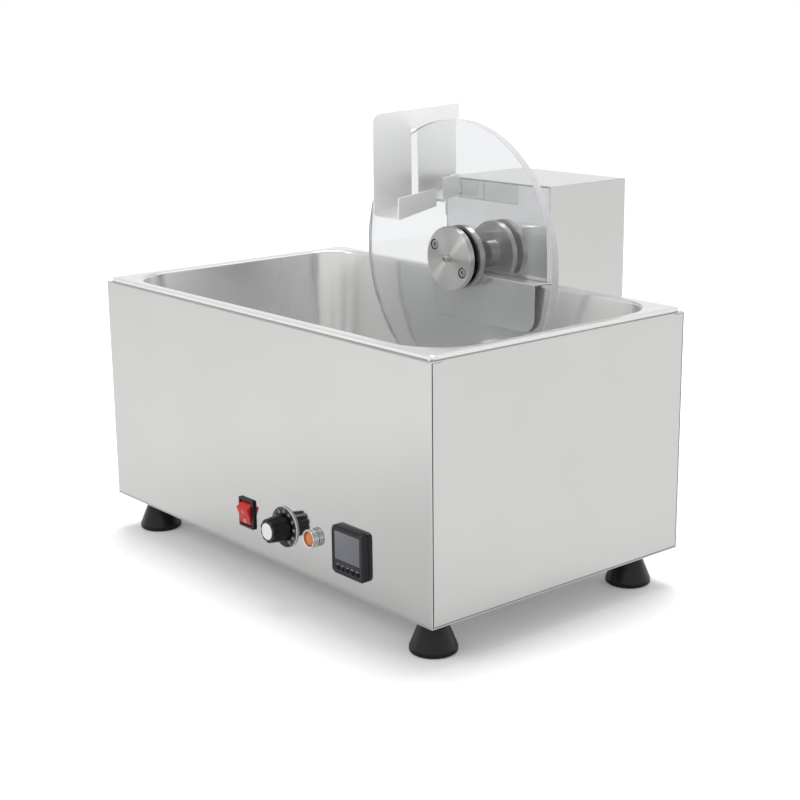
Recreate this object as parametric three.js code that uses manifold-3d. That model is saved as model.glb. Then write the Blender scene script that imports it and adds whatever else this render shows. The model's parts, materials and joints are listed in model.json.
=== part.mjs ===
// Chocolate tempering machine: a heated pan in a sheet steel housing, and a geared motor unit that hangs
// over the pan's rear rim and turns a clear wheel, which lifts melted chocolate out of the pan to a scraper.
// Millimetres. +X is right along the control face, +Y is back, +Z is up. The origin is at floor level,
// under the middle of the whole machine.
import * as THREE from "three";
import { mergeVertices } from "three/addons/utils/BufferGeometryUtils.js";
import Module from "manifold-3d";

const wasm = await Module();
wasm.setup();

// Fits that all pieces share
const fitGap = 0.3; // left between two pieces that touch
const overrun = 2; // how far a cut runs past the face it opens
const roundSides = 28; // sides of a plain turned piece

// Housing
const housingWidth = 545;
const housingDepth = 331;
const housingHeight = 245;
const panelSheet = 1.2;
const panelFold = 12; // edge folded inwards along the top of each panel
const baseSheet = 1.5;
const baseLip = 12; // upturned edge of the base, inside the panels

// Feet and their screws
const footHeight = 39;
const footBottomRadius = 23;
const footTopRadius = 9.5;
const footRim = 5; // upright band round the bottom of a foot
const footInsetX = 35.5; // foot centre in from the side panel
const footInsetY = 32.5; // foot centre in from the front or rear panel
const footPocketRadius = 8.5; // pocket under the foot, for the screw's head
const footPocketDepth = 18;
const footScrewRadius = 3;
const footScrewHeadRadius = 6;
const footScrewHead = 4;
const footNutRadius = 6;
const footNutHeight = 5;

// Pan, a tub a little longer than a 1/1 gastronorm pan, that lies on the housing's top edges
const panEndMargin = 2.5; // housing beyond the rim at each end
const panSideMargin = 3; // housing beyond the rim at the front and the rear
const panLength = housingWidth - 2 * panEndMargin;
const panWidth = housingDepth - 2 * panSideMargin;
const panSheet = 1;
const panEndRim = 12; // rim's width at each end
const panSideRim = 12.5; // rim's width at the front and the rear
const panOpeningLength = panLength - 2 * panEndRim;
const panOpeningWidth = panWidth - 2 * panSideRim;
const panOpeningCorner = 52; // corner radius of the opening
const panRimCorner = 6; // corner radius of the rim's outer edge
const panRimDrop = 4.2; // turned-down outer edge of the rim
const panRimRoll = 3; // radius from the rim into the wall
const panTaperDegrees = 5.5; // slope of the walls, which are as deep as the wheel needs, here 150
const panFloorFillet = 25;

// Heater under the pan
const heaterEndMargin = 72.5; // heater's end in from the side panel
const heaterSideMargin = 65.5; // heater's edge in from the front or rear panel, clear of the controller
const heaterLength = housingWidth - 2 * heaterEndMargin;
const heaterWidth = housingDepth - 2 * heaterSideMargin;
const heatingMatSheet = 2.5;
const heatingMatCorner = 20;
const insulationThickness = 18;
const supportSheet = 1.5;
const supportMargin = 14; // support reaches past the insulation at each end
const supportToe = 16; // foot of the support, turned in on the base
const probeRadius = 2.5;
const probeLength = 45;

// Rocker switch, its places measured from the middle and the bottom of the front panel
const switchX = -12;
const switchHeight = 40;
const switchBezelWidth = 25.5;
const switchBezelHeight = 31;
const switchBezelSheet = 2.2;
const switchBezelCorner = 1.5;
const switchBodyWidth = 21.6;
const switchBodyHeight = 27.6;
const switchBodyDepth = 22;
const switchWellWidth = 19;
const switchWellHeight = 25.2;
const switchWellDepth = 11;
const rockerPivotDepth = 3.3; // pivot behind the panel's face
const rockerReach = 12.9; // pivot to the ridge
const rockerRidgeDegrees = 44; // ridge from the switch's axis
const rockerTiltDegrees = 16; // tilt to each side
const rockerRadius = 12; // pivot to the rocker's ends
const rockerDish = 0.8; // how far the face is hollowed between the ridges

// Speed control
const speedX = 53;
const speedHeight = 41.7;
const dialRadius = 21;
const dialSheet = 1.5;
const knobBaseRadius = 14;
const knobTopRadius = 12;
const knobLength = 20;
const knobFlutes = 10;
const knobFluteShare = 0.92; // radius in a flute as a share of the radius on a rib
const knobChamfer = 1.2;
const knobBoreDepth = 13;
const knobCapRadius = 8.5;
const knobCapSheet = 1.2;
const spindleRadius = 3;
const bushingRadius = 4.5;
const controlBodyRadius = 12;
const controlBodyDepth = 14;

// Pilot lamp
const lampX = 99.3;
const lampHeight = 42.3;
const lampBezelRadius = 9.3;
const lampLensRadius = 7;
const lampProjection = 7.1;
const lampChamfer = 1.2;
const lampRecess = 3.5; // lens seat below the bezel's edge
const lampStemRadius = 6;
const lampStemDepth = 24;

// Temperature controller
const controllerX = 159;
const controllerHeight = 43.3;
const controllerSide = 48;
const controllerCorner = 5;
const controllerProjection = 6.5;
const controllerCaseSide = 44.6;
const controllerCaseDepth = 60; // case behind the panel
const controllerCaseProud = 1.5; // front of the case, ahead of the panel
const windowWidth = 37;
const windowHeight = 28;
const windowLift = 5; // window's middle above the controller's middle
const windowSheet = 1.4;
const keyCount = 5;
const keyPitch = 7.4;
const keyWidth = 4.6;
const keyHeight = 3;
const keyDrop = 17.2; // keys' middle below the controller's middle
const keyProud = 0.9; // key ahead of the bezel
const keyTravel = 0.6;
const clampSheet = 2;
const clampSide = 54;
const clampSeat = 12; // clamp behind the panel's face

// Board and cable inlets
const boardLength = 90;
const boardWidth = 60;
const boardSheet = 1.6;
const boardToeGap = 3; // board in from the heater support's toe
const boardInset = 30; // board behind the heater's front edge
const boardPostHeight = 8;
const boardPostRadius = 3;
const boardPartHeight = 20;
const boardPartLength = 26;
const boardPartWidth = 18;
const glandRadius = 8;
const glandNutRadius = 11;
const glandProjection = 17;
const glandInside = 7;
const glandFlange = 5;
const glandBore = 4.5;
const mainsGlandInset = 72.5; // inlet in from the right side panel
const mainsGlandHeight = 40;
const driveLeadOutset = 27.6; // inlet to the right of the drive unit's box
const driveLeadHeight = 95;

// Drive unit's box
const driveWidth = 159;
const driveCentreX = 12.9;
const driveSetback = 5.5; // front wall ahead of the housing's rear face
const driveDepth = 116;
const driveRise = 103; // top above the pan's rim
const driveFall = 99.5; // bottom below the pan's rim
const driveSheet = 1.2;
const hangGap = 3; // between the housing's rear face and the wall that hangs behind it
const unitGlandX = 60; // lead inlet in the box's floor
const unitGlandInset = 40; // inlet ahead of the box's rear wall

// Hook that hangs the unit on the pan's rim
const hookSheet = 1.5;
const hookReach = 9; // hanging plate ahead of the pan's rear wall
const hookDrop = 53; // hanging plate below the shelf
const hookCorner = 16;
const hookOverhangLeft = 4.4;
const hookOverhangRight = 0.6;
const hookTab = 28; // tab inside the box, bolted to the motor bracket

// Motor, gearbox and shaft
const bracketSheet = 2;
const bracketHeight = 170;
const bracketToe = 28;
const gearboxWidth = 80;
const gearboxDepth = 32;
const gearboxWall = 4;
const gearboxAbove = 34; // top of the gearbox above the wheel's axis
const gearboxBelow = 66; // bottom of the gearbox below the wheel's axis
const gearCentres = 30; // motor's axis below the wheel's axis
const driveGearTeeth = 48;
const pinionTeeth = 12;
const gearWidth = 12;
const pinionWidth = 16;
const gearEndGap = 6; // gears behind the gearbox's front wall
const motorRadius = 34;
const motorLength = 50;
const motorFlange = 4;
const motorBossRadius = 9;
const motorBossLength = 5;
const rotorRadius = 3;
const rotorDepth = 20; // rotor shaft inside the motor
const shaftRadius = 6;
const shaftEndGap = 4; // shaft's rear end ahead of the gearbox's rear
const bushRadius = 9;
const bushFlangeRadius = 12;
const bushFlange = 2;
const bushProud = 1;
const bushLength = 8;

// Wheel and hub
const wheelRadius = 150;
const wheelThickness = 10;
const wheelX = -15;
const wheelAxisRise = 20; // wheel's axis above the pan's rim
const wheelAbovePanFloor = 20; // lowest point of the wheel above the pan's floor
const wheelStandoff = 34.5; // wheel's middle plane ahead of the drive unit's front wall
const wheelSides = 96;
const hubRadius = 35;
const hubSides = 40;
const hubFrontThickness = 7.5;
const hubRearThickness = 7;
const hubBossRadius = 15;
const hubBossLength = 12.7;
const hubShoulder = 3; // metal ahead of the shaft's shoulder in the rear flange
const gasketSheet = 1.2;
const gasketInset = 2.5; // gasket's edge inside the hub's
const pinRadius = 3.5;
const pinProjection = 6.5;
const hubScrewCount = 2;
const hubScrewCircle = 26;
const hubScrewAngleDegrees = 149;
const hubScrewRadius = 3;
const hubScrewHeadRadius = 5;
const hubScrewHead = 4.5;
const hubScrewPocketRadius = 5.6;
const hubScrewPocketDepth = 5;
const hubScrewGrip = 6; // thread in the rear flange
const hubSocketRadius = 2.9;
const hubSocketDepth = 2.5;

// Scraper
const scraperSheet = 1.5;
const scraperOffset = 18.2; // scraper plate's inner face from the box's left wall
const scraperClearance = 1; // between scraper and wheel, at the front
const scraperFarClearance = 4; // between scraper and wheel, at the rear
const scraperTopRise = 5; // plate's top above the wheel's top, at the front
const scraperTopSlopeDegrees = 2.6;
const scraperCorner = 12;
const scraperBridgeGap = 2.2; // slot's end above the wheel's rim
const scraperRearReach = 31; // plate behind the drive unit's front wall
const troughWidth = 41.8;
const troughNearLength = 54.5;
const troughFarLength = 23.5;
const troughRise = 43.5; // trough's near end above the wheel's axis
const troughSlopeDegrees = 11;
const troughFarStep = 2.5; // far trough above the near trough's line
const lipHeight = 24;
const lipEndHeight = 19.5; // lip's height beside the wheel
const neckDrop = 12; // neck below the far trough's end
const neckSetback = 5; // neck's bend behind the drive unit's front wall
const neckHeight = 12;
const neckWidth = 8;
const tongueLength = 24;
const tongueHeight = 38;
const tongueDrop = 12; // tongue below the neck

// Pocket on the box's left wall that takes the scraper's tongue
const pocketSheet = 1;
const pocketFloorGap = 1;

// Places worked out from the sizes above, heights from the floor
const housingBottom = footHeight;
const housingTop = housingBottom + housingHeight;
const frontFace = -housingDepth / 2;
const rearFace = housingDepth / 2;
const panelBottom = housingBottom + baseSheet + fitGap;
const baseTop = housingBottom + baseSheet;
const footX = housingWidth / 2 - footInsetX;
const footY = housingDepth / 2 - footInsetY;
const rimTop = housingTop + fitGap + panRimDrop;
const wheelZ = rimTop + wheelAxisRise;
const panFloorTop = wheelZ - wheelRadius - wheelAbovePanFloor;
const panFloorBottom = panFloorTop - panSheet;
const panTaper = Math.tan(THREE.MathUtils.degToRad(panTaperDegrees));
const matTop = panFloorBottom - fitGap;
const insulationTop = matTop - heatingMatSheet - fitGap;
const supportTop = insulationTop - insulationThickness - fitGap;
const boardX = supportToe + boardToeGap + boardLength / 2 - heaterLength / 2 - supportMargin;
const boardY = boardInset + boardWidth / 2 - heaterWidth / 2;
const driveFrontY = rearFace - driveSetback;
const driveRearY = driveFrontY + driveDepth;
const driveLowerFrontY = rearFace + hangGap;
const driveTop = rimTop + driveRise;
const driveBottom = rimTop - driveFall;
const unitGlandY = driveRearY - unitGlandInset;
const driveLeft = driveCentreX - driveWidth / 2;
const driveRight = driveCentreX + driveWidth / 2;
const innerLeft = driveLeft + driveSheet + fitGap;
const innerRight = driveRight - driveSheet - fitGap;
const shelfBottom = rimTop + fitGap;
const shelfTop = shelfBottom + hookSheet;
const drivePlateBottom = shelfTop + fitGap;
const hookFrontY = panOpeningWidth / 2 - hookReach;
const hookTabY = driveLowerFrontY + driveSheet + fitGap;
const bracketY = hookTabY + hookSheet + fitGap;
const gearboxY = bracketY + bracketSheet + fitGap;
const gearboxRearY = gearboxY + gearboxDepth;
const motorY = gearboxRearY + fitGap;
const wheelY = driveFrontY - wheelStandoff;
const gearModule = (2 * gearCentres) / (driveGearTeeth + pinionTeeth);
const motorZ = wheelZ - gearCentres;

// Solids: closed three.js geometry joined and cut

function manifoldFrom(positions, triangles) {
  return new wasm.Manifold(
    new wasm.Mesh({ numProp: 3, vertProperties: positions, triVerts: triangles }),
  );
}

function solidOf(geometry) {
  const bare = geometry.clone();
  bare.deleteAttribute("normal");
  bare.deleteAttribute("uv");
  const merged = mergeVertices(bare, fitGap / 1000);
  const positions = merged.attributes.position.array;
  const triangles = new Uint32Array(merged.index.array);
  const made = manifoldFrom(positions, triangles);
  return made.volume() < 0 ? manifoldFrom(positions, triangles.reverse()) : made;
}

function geometryOf(solid) {
  const data = solid.getMesh();
  const geometry = new THREE.BufferGeometry();
  geometry.setAttribute("position", new THREE.BufferAttribute(data.vertProperties, data.numProp));
  geometry.setIndex(new THREE.BufferAttribute(data.triVerts, 1));
  const faceted = geometry.toNonIndexed();
  faceted.computeVertexNormals();
  return faceted;
}

function join(first, ...others) {
  return others.reduce((whole, piece) => whole.add(piece), first);
}

function cut(body, ...tools) {
  return tools.reduce((rest, tool) => rest.subtract(tool), body);
}

// Box between two opposite corners
function block([x0, y0, z0], [x1, y1, z1]) {
  const geometry = new THREE.BoxGeometry(x1 - x0, y1 - y0, z1 - z0);
  return solidOf(geometry.translate((x0 + x1) / 2, (y0 + y1) / 2, (z0 + z1) / 2));
}

function shapeOf(points) {
  return new THREE.Shape(points.map(([x, y]) => new THREE.Vector2(x, y)));
}

// Outline in XY, extruded up from a height
function prism(points, bottom, height) {
  const geometry = new THREE.ExtrudeGeometry(shapeOf(points), { depth: height, bevelEnabled: false });
  return solidOf(geometry.translate(0, 0, bottom));
}

const yzToWorld = new THREE.Matrix4().set(0, 0, 1, 0, 1, 0, 0, 0, 0, 1, 0, 0, 0, 0, 0, 1);
const xzToWorld = new THREE.Matrix4().set(1, 0, 0, 0, 0, 0, -1, 0, 0, 1, 0, 0, 0, 0, 0, 1);

// Outline of Y and Z, as a plate from x to x + thickness
function plateAcrossX(points, x, thickness) {
  const geometry = new THREE.ExtrudeGeometry(shapeOf(points), { depth: thickness, bevelEnabled: false });
  return solidOf(geometry.applyMatrix4(yzToWorld).translate(x, 0, 0));
}

// Outline of X and Z, as a plate from y to y + thickness
function plateAcrossY(points, y, thickness) {
  const geometry = new THREE.ExtrudeGeometry(shapeOf(points), { depth: thickness, bevelEnabled: false });
  return solidOf(geometry.applyMatrix4(xzToWorld).translate(0, y + thickness, 0));
}

// Closed profile of radius and height, turned about Z
function turned(profile, sides = roundSides) {
  const points = profile.map(([radius, height]) => new THREE.Vector2(radius, height));
  if (profile[0][0] > 0) {
    points.push(points[0].clone());
  }
  return solidOf(new THREE.LatheGeometry(points, sides).rotateX(Math.PI / 2));
}

// Round bar along Z between two heights
function bar(radius, bottom, top, sides = roundSides) {
  return turned([[0, bottom], [radius, bottom], [radius, top], [0, top]], sides);
}

// Bored disc or sleeve along Z between two heights
function sleeve(outer, inner, bottom, top, sides = roundSides) {
  return turned([[inner, bottom], [outer, bottom], [outer, top], [inner, top]], sides);
}

const cornerSteps = 5;

// Rectangle about the origin with round corners, as points
function roundedRectangle(halfX, halfY, radius, steps = cornerSteps) {
  const corners = [[1, 1], [-1, 1], [-1, -1], [1, -1]];
  return corners.flatMap(([signX, signY], quarter) =>
    Array.from({ length: steps + 1 }, (_, i) => {
      const angle = ((quarter + i / steps) * Math.PI) / 2;
      const x = signX * (halfX - radius) + radius * Math.cos(angle);
      const y = signY * (halfY - radius) + radius * Math.sin(angle);
      return [x, y];
    }),
  );
}

// Rings of equally many points, skinned in order and closed at both ends
function lofted(rings) {
  const count = rings[0].length;
  const positions = rings.flat(2);
  const middleOf = (ring) => [0, 1, 2].map((axis) => ring.reduce((sum, p) => sum + p[axis], 0) / count);
  const firstMiddle = rings.length * count;
  positions.push(...middleOf(rings[0]), ...middleOf(rings[rings.length - 1]));
  const triangles = [];
  for (let i = 0; i < count; i++) {
    const next = (i + 1) % count;
    for (let r = 0; r + 1 < rings.length; r++) {
      const near = r * count;
      const far = near + count;
      triangles.push(near + i, near + next, far + next, near + i, far + next, far + i);
    }
    const last = (rings.length - 1) * count;
    triangles.push(firstMiddle, next, i, firstMiddle + 1, last + i, last + next);
  }
  const geometry = new THREE.BufferGeometry();
  geometry.setAttribute("position", new THREE.Float32BufferAttribute(positions, 3));
  geometry.setIndex(triangles);
  return solidOf(geometry);
}

function ringAt(points, height) {
  return points.map(([x, y]) => [x, y, height]);
}

// Looks of the pieces

function metal(color, roughness) {
  return new THREE.MeshStandardMaterial({ color, roughness, metalness: 1 });
}

function plastic(color, roughness) {
  return new THREE.MeshStandardMaterial({ color, roughness, metalness: 0 });
}

const polishedSteel = () => metal(0xd3d3d1, 0.12);
const satinSteel = () => metal(0xbdbdbb, 0.35);
const zincSteel = () => metal(0xa9abad, 0.45);
const blackPlastic = () => plastic(0x1b1b1d, 0.45);
const blackRubber = () => plastic(0x141414, 0.75);

const machine = new THREE.Group();

function add(parent, name, solid, material) {
  const mesh = new THREE.Mesh(geometryOf(solid), material);
  mesh.name = name;
  parent.add(mesh);
  return mesh;
}

// Housing

function footPlaces() {
  return [
    ["front_left", -footX, -footY],
    ["front_right", footX, -footY],
    ["rear_left", -footX, footY],
    ["rear_right", footX, footY],
  ];
}

function at(solid, x, y, z = 0) {
  return solid.translate([x, y, z]);
}

function basePlate() {
  const halfX = housingWidth / 2;
  const lipX = halfX - panelSheet - fitGap;
  const lipY = rearFace - panelSheet - fitGap;
  const floor = block([-halfX, frontFace, housingBottom], [halfX, rearFace, baseTop]);
  const lip = cut(
    block([-lipX, -lipY, housingBottom], [lipX, lipY, baseTop + baseLip]),
    block(
      [-lipX + baseSheet, -lipY + baseSheet, housingBottom - overrun],
      [lipX - baseSheet, lipY - baseSheet, baseTop + baseLip + overrun],
    ),
  );
  let plate = join(floor, lip);
  for (const [, x, y] of footPlaces()) {
    const nut = bar(footNutRadius, housingBottom, baseTop + footNutHeight, 6);
    const nutTop = baseTop + footNutHeight;
    const hole = bar(footScrewRadius + fitGap, housingBottom - overrun, nutTop + overrun, 12);
    plate = cut(join(plate, at(nut, x, y)), at(hole, x, y));
  }
  return plate;
}

function foot() {
  const top = housingBottom - fitGap;
  const bore = footScrewRadius + fitGap;
  return turned([
    [bore, footPocketDepth],
    [footPocketRadius, footPocketDepth],
    [footPocketRadius, 0],
    [footBottomRadius, 0],
    [footBottomRadius, footRim],
    [footTopRadius, top],
    [bore, top],
  ], 20);
}

function footScrew() {
  const headTop = footPocketDepth - fitGap;
  const socket = bar(footScrewRadius, headTop - footScrewHead - overrun, headTop - footScrewHead / 2, 6);
  const head = bar(footScrewHeadRadius, headTop - footScrewHead, headTop, 16);
  const shank = bar(footScrewRadius, headTop - footScrewHead / 4, baseTop + footNutHeight, 12);
  return cut(join(head, shank), socket);
}

// Hole for a panel piece, in the front panel's own X and height
function frontOpenings() {
  const depth = [frontFace - overrun, frontFace + panelFold / 2];
  const square = (x, height, halfX, halfZ) =>
    block(
      [x - halfX - fitGap, depth[0], housingBottom + height - halfZ - fitGap],
      [x + halfX + fitGap, depth[1], housingBottom + height + halfZ + fitGap],
    );
  const round = (x, height, radius) =>
    at(bar(radius + fitGap, 0, depth[1] - depth[0]).rotate([90, 0, 0]), x, depth[1], housingBottom + height);
  const caseHalf = controllerCaseSide / 2;
  return [
    square(switchX, switchHeight, switchBodyWidth / 2, switchBodyHeight / 2),
    square(controllerX, controllerHeight, caseHalf, caseHalf),
    round(speedX, speedHeight, bushingRadius),
    round(lampX, lampHeight, lampStemRadius),
  ];
}

// Panel with its top edge folded in, for the front (side -1) or the rear (side 1)
function longPanel(side) {
  const halfX = housingWidth / 2;
  const outer = side * rearFace;
  const inner = outer - side * panelSheet;
  const fold = outer - side * panelFold;
  const face = block(
    [-halfX, Math.min(outer, inner), panelBottom],
    [halfX, Math.max(outer, inner), housingTop],
  );
  const edge = block(
    [-halfX, Math.min(outer, fold), housingTop - panelSheet],
    [halfX, Math.max(outer, fold), housingTop],
  );
  return join(face, edge);
}

function glandPlaces() {
  return [
    ["mains_gland", housingWidth / 2 - mainsGlandInset, mainsGlandHeight],
    ["drive_lead_gland", driveRight + driveLeadOutset, driveLeadHeight],
  ];
}

function rearPanel() {
  const holes = glandPlaces().map(([, x, height]) => {
    const drill = bar(glandRadius + fitGap, 0, panelFold).rotate([90, 0, 0]);
    return at(drill, x, rearFace + overrun, housingBottom + height);
  });
  return cut(longPanel(1), ...holes);
}

// Panel between the front and rear panels, for the left (side -1) or the right (side 1)
function sidePanel(side) {
  const outer = (side * housingWidth) / 2;
  const inner = outer - side * panelSheet;
  const fold = outer - side * panelFold;
  const faceY = rearFace - panelSheet - fitGap;
  const edgeY = rearFace - panelFold - fitGap;
  const face = block(
    [Math.min(outer, inner), -faceY, panelBottom],
    [Math.max(outer, inner), faceY, housingTop - panelSheet - fitGap],
  );
  const edge = block(
    [Math.min(outer, fold), -edgeY, housingTop - panelSheet],
    [Math.max(outer, fold), edgeY, housingTop],
  );
  const web = block(
    [Math.min(outer, inner), -edgeY, panelBottom],
    [Math.max(outer, inner), edgeY, housingTop],
  );
  return join(face, web, edge);
}

// Ring of the pan, a distance out from the opening's edge
function panRing(out, height) {
  const outline = roundedRectangle(
    panOpeningLength / 2 + out,
    panOpeningWidth / 2 + out,
    panOpeningCorner + out,
  );
  return ringAt(outline, height);
}

function rimRing(inset, height) {
  const outline = roundedRectangle(panLength / 2 - inset, panWidth / 2 - inset, panRimCorner - inset);
  return ringAt(outline, height);
}

// Rings round a quarter turn between wall and floor, or wall and rim
function filletRings(middleOut, middleHeight, radius, fromDegrees, toDegrees, steps) {
  return Array.from({ length: steps + 1 }, (_, i) => {
    const angle = THREE.MathUtils.degToRad(fromDegrees + ((toDegrees - fromDegrees) * i) / steps);
    return panRing(middleOut + radius * Math.cos(angle), middleHeight + radius * Math.sin(angle));
  });
}

function pan() {
  const wallTop = rimTop - panRimRoll;
  const filletMiddle = panFloorTop + panFloorFillet;
  const wallIn = (wallTop - filletMiddle) * panTaper;
  const floorIn = -wallIn - panFloorFillet;
  const filletSteps = 4;
  const rollSteps = 2;
  const inside = [
    ...filletRings(floorIn, filletMiddle, panFloorFillet, -90, -panTaperDegrees, filletSteps),
    ...filletRings(panRimRoll, wallTop, panRimRoll, 180, 90, rollSteps),
  ];
  const rollInner = panRimRoll - panSheet;
  const outside = [
    ...filletRings(panRimRoll, wallTop, rollInner, 90, 180, rollSteps),
    ...filletRings(floorIn, filletMiddle, panFloorFillet + panSheet, -panTaperDegrees, -90, filletSteps),
  ];
  const rimEdge = panSheet / 2;
  return lofted([
    ...inside,
    rimRing(rimEdge, rimTop),
    rimRing(0, rimTop - rimEdge),
    rimRing(0, rimTop - panRimDrop),
    rimRing(panSheet, rimTop - panRimDrop),
    rimRing(panSheet, rimTop - panSheet),
    ...outside,
  ]);
}

// Heater

function heatingMat() {
  return prism(
    roundedRectangle(heaterLength / 2, heaterWidth / 2, heatingMatCorner),
    matTop - heatingMatSheet,
    heatingMatSheet,
  );
}

function insulationBoard() {
  const halfX = heaterLength / 2;
  const halfY = heaterWidth / 2;
  const board = block([-halfX, -halfY, insulationTop - insulationThickness], [halfX, halfY, insulationTop]);
  const groove = block(
    [-halfX - overrun, -probeRadius - fitGap, insulationTop - 2 * (probeRadius + fitGap)],
    [-halfX + probeLength + fitGap, probeRadius + fitGap, insulationTop + overrun],
  );
  return cut(board, groove);
}

function heaterSupport() {
  const halfX = heaterLength / 2 + supportMargin;
  const halfY = heaterWidth / 2;
  const bottom = baseTop + fitGap;
  const outer = block([-halfX, -halfY, bottom], [halfX, halfY, supportTop]);
  const under = block(
    [-halfX + supportSheet, -halfY - overrun, bottom - overrun],
    [halfX - supportSheet, halfY + overrun, supportTop - supportSheet],
  );
  const toes = [-1, 1].map((side) => {
    const x = side * halfX;
    const toe = x - side * supportToe;
    return block(
      [Math.min(x, toe), -halfY, bottom],
      [Math.max(x, toe), halfY, bottom + supportSheet],
    );
  });
  return join(cut(outer, under), ...toes);
}

function temperatureProbe() {
  const middle = insulationTop - probeRadius - fitGap;
  const probe = bar(probeRadius, 0, probeLength, 12).rotate([0, 90, 0]);
  return at(probe, -heaterLength / 2, 0, middle);
}

function addHousing() {
  add(machine, "base_plate", basePlate(), satinSteel());
  add(machine, "front_panel", cut(longPanel(-1), ...frontOpenings()), polishedSteel());
  add(machine, "rear_panel", rearPanel(), polishedSteel());
  add(machine, "left_side_panel", sidePanel(-1), polishedSteel());
  add(machine, "right_side_panel", sidePanel(1), polishedSteel());
  for (const [place, x, y] of footPlaces()) {
    add(machine, "foot_" + place, foot(), blackRubber()).position.set(x, y, 0);
    add(machine, "foot_screw_" + place, footScrew(), zincSteel()).position.set(x, y, 0);
  }
  add(machine, "pan", pan(), satinSteel());
  add(machine, "heating_mat", heatingMat(), plastic(0xc0542c, 0.6));
  add(machine, "insulation_board", insulationBoard(), plastic(0xd9d2bd, 0.95));
  add(machine, "heater_support", heaterSupport(), zincSteel());
  add(machine, "temperature_probe", temperatureProbe(), metal(0xc6c6c6, 0.25));
}

// Pieces on the front panel, modelled with X right, Y up and Z out of the panel

const panelRear = -panelSheet - fitGap;

function switchBody() {
  const bezel = prism(
    roundedRectangle(switchBezelWidth / 2, switchBezelHeight / 2, switchBezelCorner, 2),
    fitGap,
    switchBezelSheet,
  );
  const body = block(
    [-switchBodyWidth / 2, -switchBodyHeight / 2, -switchBodyDepth],
    [switchBodyWidth / 2, switchBodyHeight / 2, fitGap + switchBezelSheet / 2],
  );
  const well = block(
    [-switchWellWidth / 2, -switchWellHeight / 2, -switchWellDepth],
    [switchWellWidth / 2, switchWellHeight / 2, fitGap + switchBezelSheet + overrun],
  );
  return cut(join(bezel, body), well);
}

// Rocker about its pivot, level, with its outline in height and depth
function switchRocker() {
  const ridge = THREE.MathUtils.degToRad(rockerRidgeDegrees);
  const ridgeY = rockerReach * Math.sin(ridge);
  const ridgeZ = rockerReach * Math.cos(ridge);
  const backZ = (rockerPivotDepth - switchWellDepth) / 2;
  const outline = [
    [ridgeY, ridgeZ],
    [0, ridgeZ - rockerDish],
    [-ridgeY, ridgeZ],
    [-rockerRadius, 0],
    [-rockerRadius / 2, backZ],
    [rockerRadius / 2, backZ],
    [rockerRadius, 0],
  ];
  const width = switchWellWidth - 2 * fitGap;
  return plateAcrossX(outline, -width / 2, width);
}

function speedControl() {
  const rear = panelRear - controlBodyDepth;
  const bore = spindleRadius + fitGap;
  return turned([
    [0, rear],
    [controlBodyRadius, rear],
    [controlBodyRadius, panelRear],
    [bushingRadius, panelRear],
    [bushingRadius, fitGap + dialSheet],
    [bore, fitGap + dialSheet],
    [bore, panelRear - controlBodyDepth / 2],
    [0, panelRear - controlBodyDepth / 2],
  ]);
}

function dialPlate() {
  return sleeve(dialRadius, bushingRadius + fitGap, fitGap, fitGap + dialSheet, 48);
}

function fluteRing(radius, height) {
  const fluteShares = [1, 1, knobFluteShare, knobFluteShare];
  const count = knobFlutes * fluteShares.length;
  return Array.from({ length: count }, (_, i) => {
    const angle = (2 * Math.PI * i) / count;
    const reach = radius * fluteShares[i % fluteShares.length];
    return [reach * Math.cos(angle), reach * Math.sin(angle), height];
  });
}

const knobBottom = fitGap + dialSheet + fitGap;
const knobTop = knobBottom + knobLength;

function speedKnob() {
  const body = lofted([
    fluteRing(knobBaseRadius, knobBottom),
    fluteRing(knobTopRadius, knobTop - knobChamfer),
    fluteRing(knobTopRadius - knobChamfer, knobTop),
  ]);
  const seat = bar(knobCapRadius + fitGap, knobTop - knobCapSheet / 2 - fitGap, knobTop + overrun);
  const bore = bar(spindleRadius + fitGap, knobBottom - overrun, knobBottom + knobBoreDepth, 16);
  return cut(body, seat, bore);
}

function knobCap() {
  return bar(knobCapRadius, knobTop - knobCapSheet / 2, knobTop + knobCapSheet / 2);
}

function controlSpindle() {
  const rear = panelRear - controlBodyDepth / 2 + fitGap;
  return bar(spindleRadius, rear, knobBottom + knobBoreDepth - fitGap, 16);
}

function lampBezel() {
  const seat = lampProjection - lampRecess;
  const rim = lampLensRadius + fitGap;
  return turned([
    [0, -lampStemDepth],
    [lampStemRadius, -lampStemDepth],
    [lampStemRadius, fitGap],
    [lampBezelRadius, fitGap],
    [lampBezelRadius, lampProjection - lampChamfer],
    [lampBezelRadius - lampChamfer / 2, lampProjection],
    [rim, lampProjection],
    [rim, seat],
    [0, seat],
  ]);
}

function lampLens() {
  const seat = lampProjection - lampRecess + fitGap;
  const edge = lampProjection - lampRecess / 3;
  const profile = [[0, seat], [lampLensRadius, seat], [lampLensRadius, edge]];
  const steps = 3;
  for (let i = 1; i <= steps; i++) {
    const angle = (i / steps) * (Math.PI / 2);
    const rise = (lampRecess / 2) * Math.sin(angle);
    profile.push([i < steps ? lampLensRadius * Math.cos(angle) : 0, edge + rise]);
  }
  return turned(profile);
}

function controllerCase() {
  const half = controllerCaseSide / 2;
  const front = controllerCaseProud;
  return block([-half, -half, -controllerCaseDepth], [half, half, front]);
}

function keyX(index) {
  return (index - (keyCount - 1) / 2) * keyPitch;
}

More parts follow.
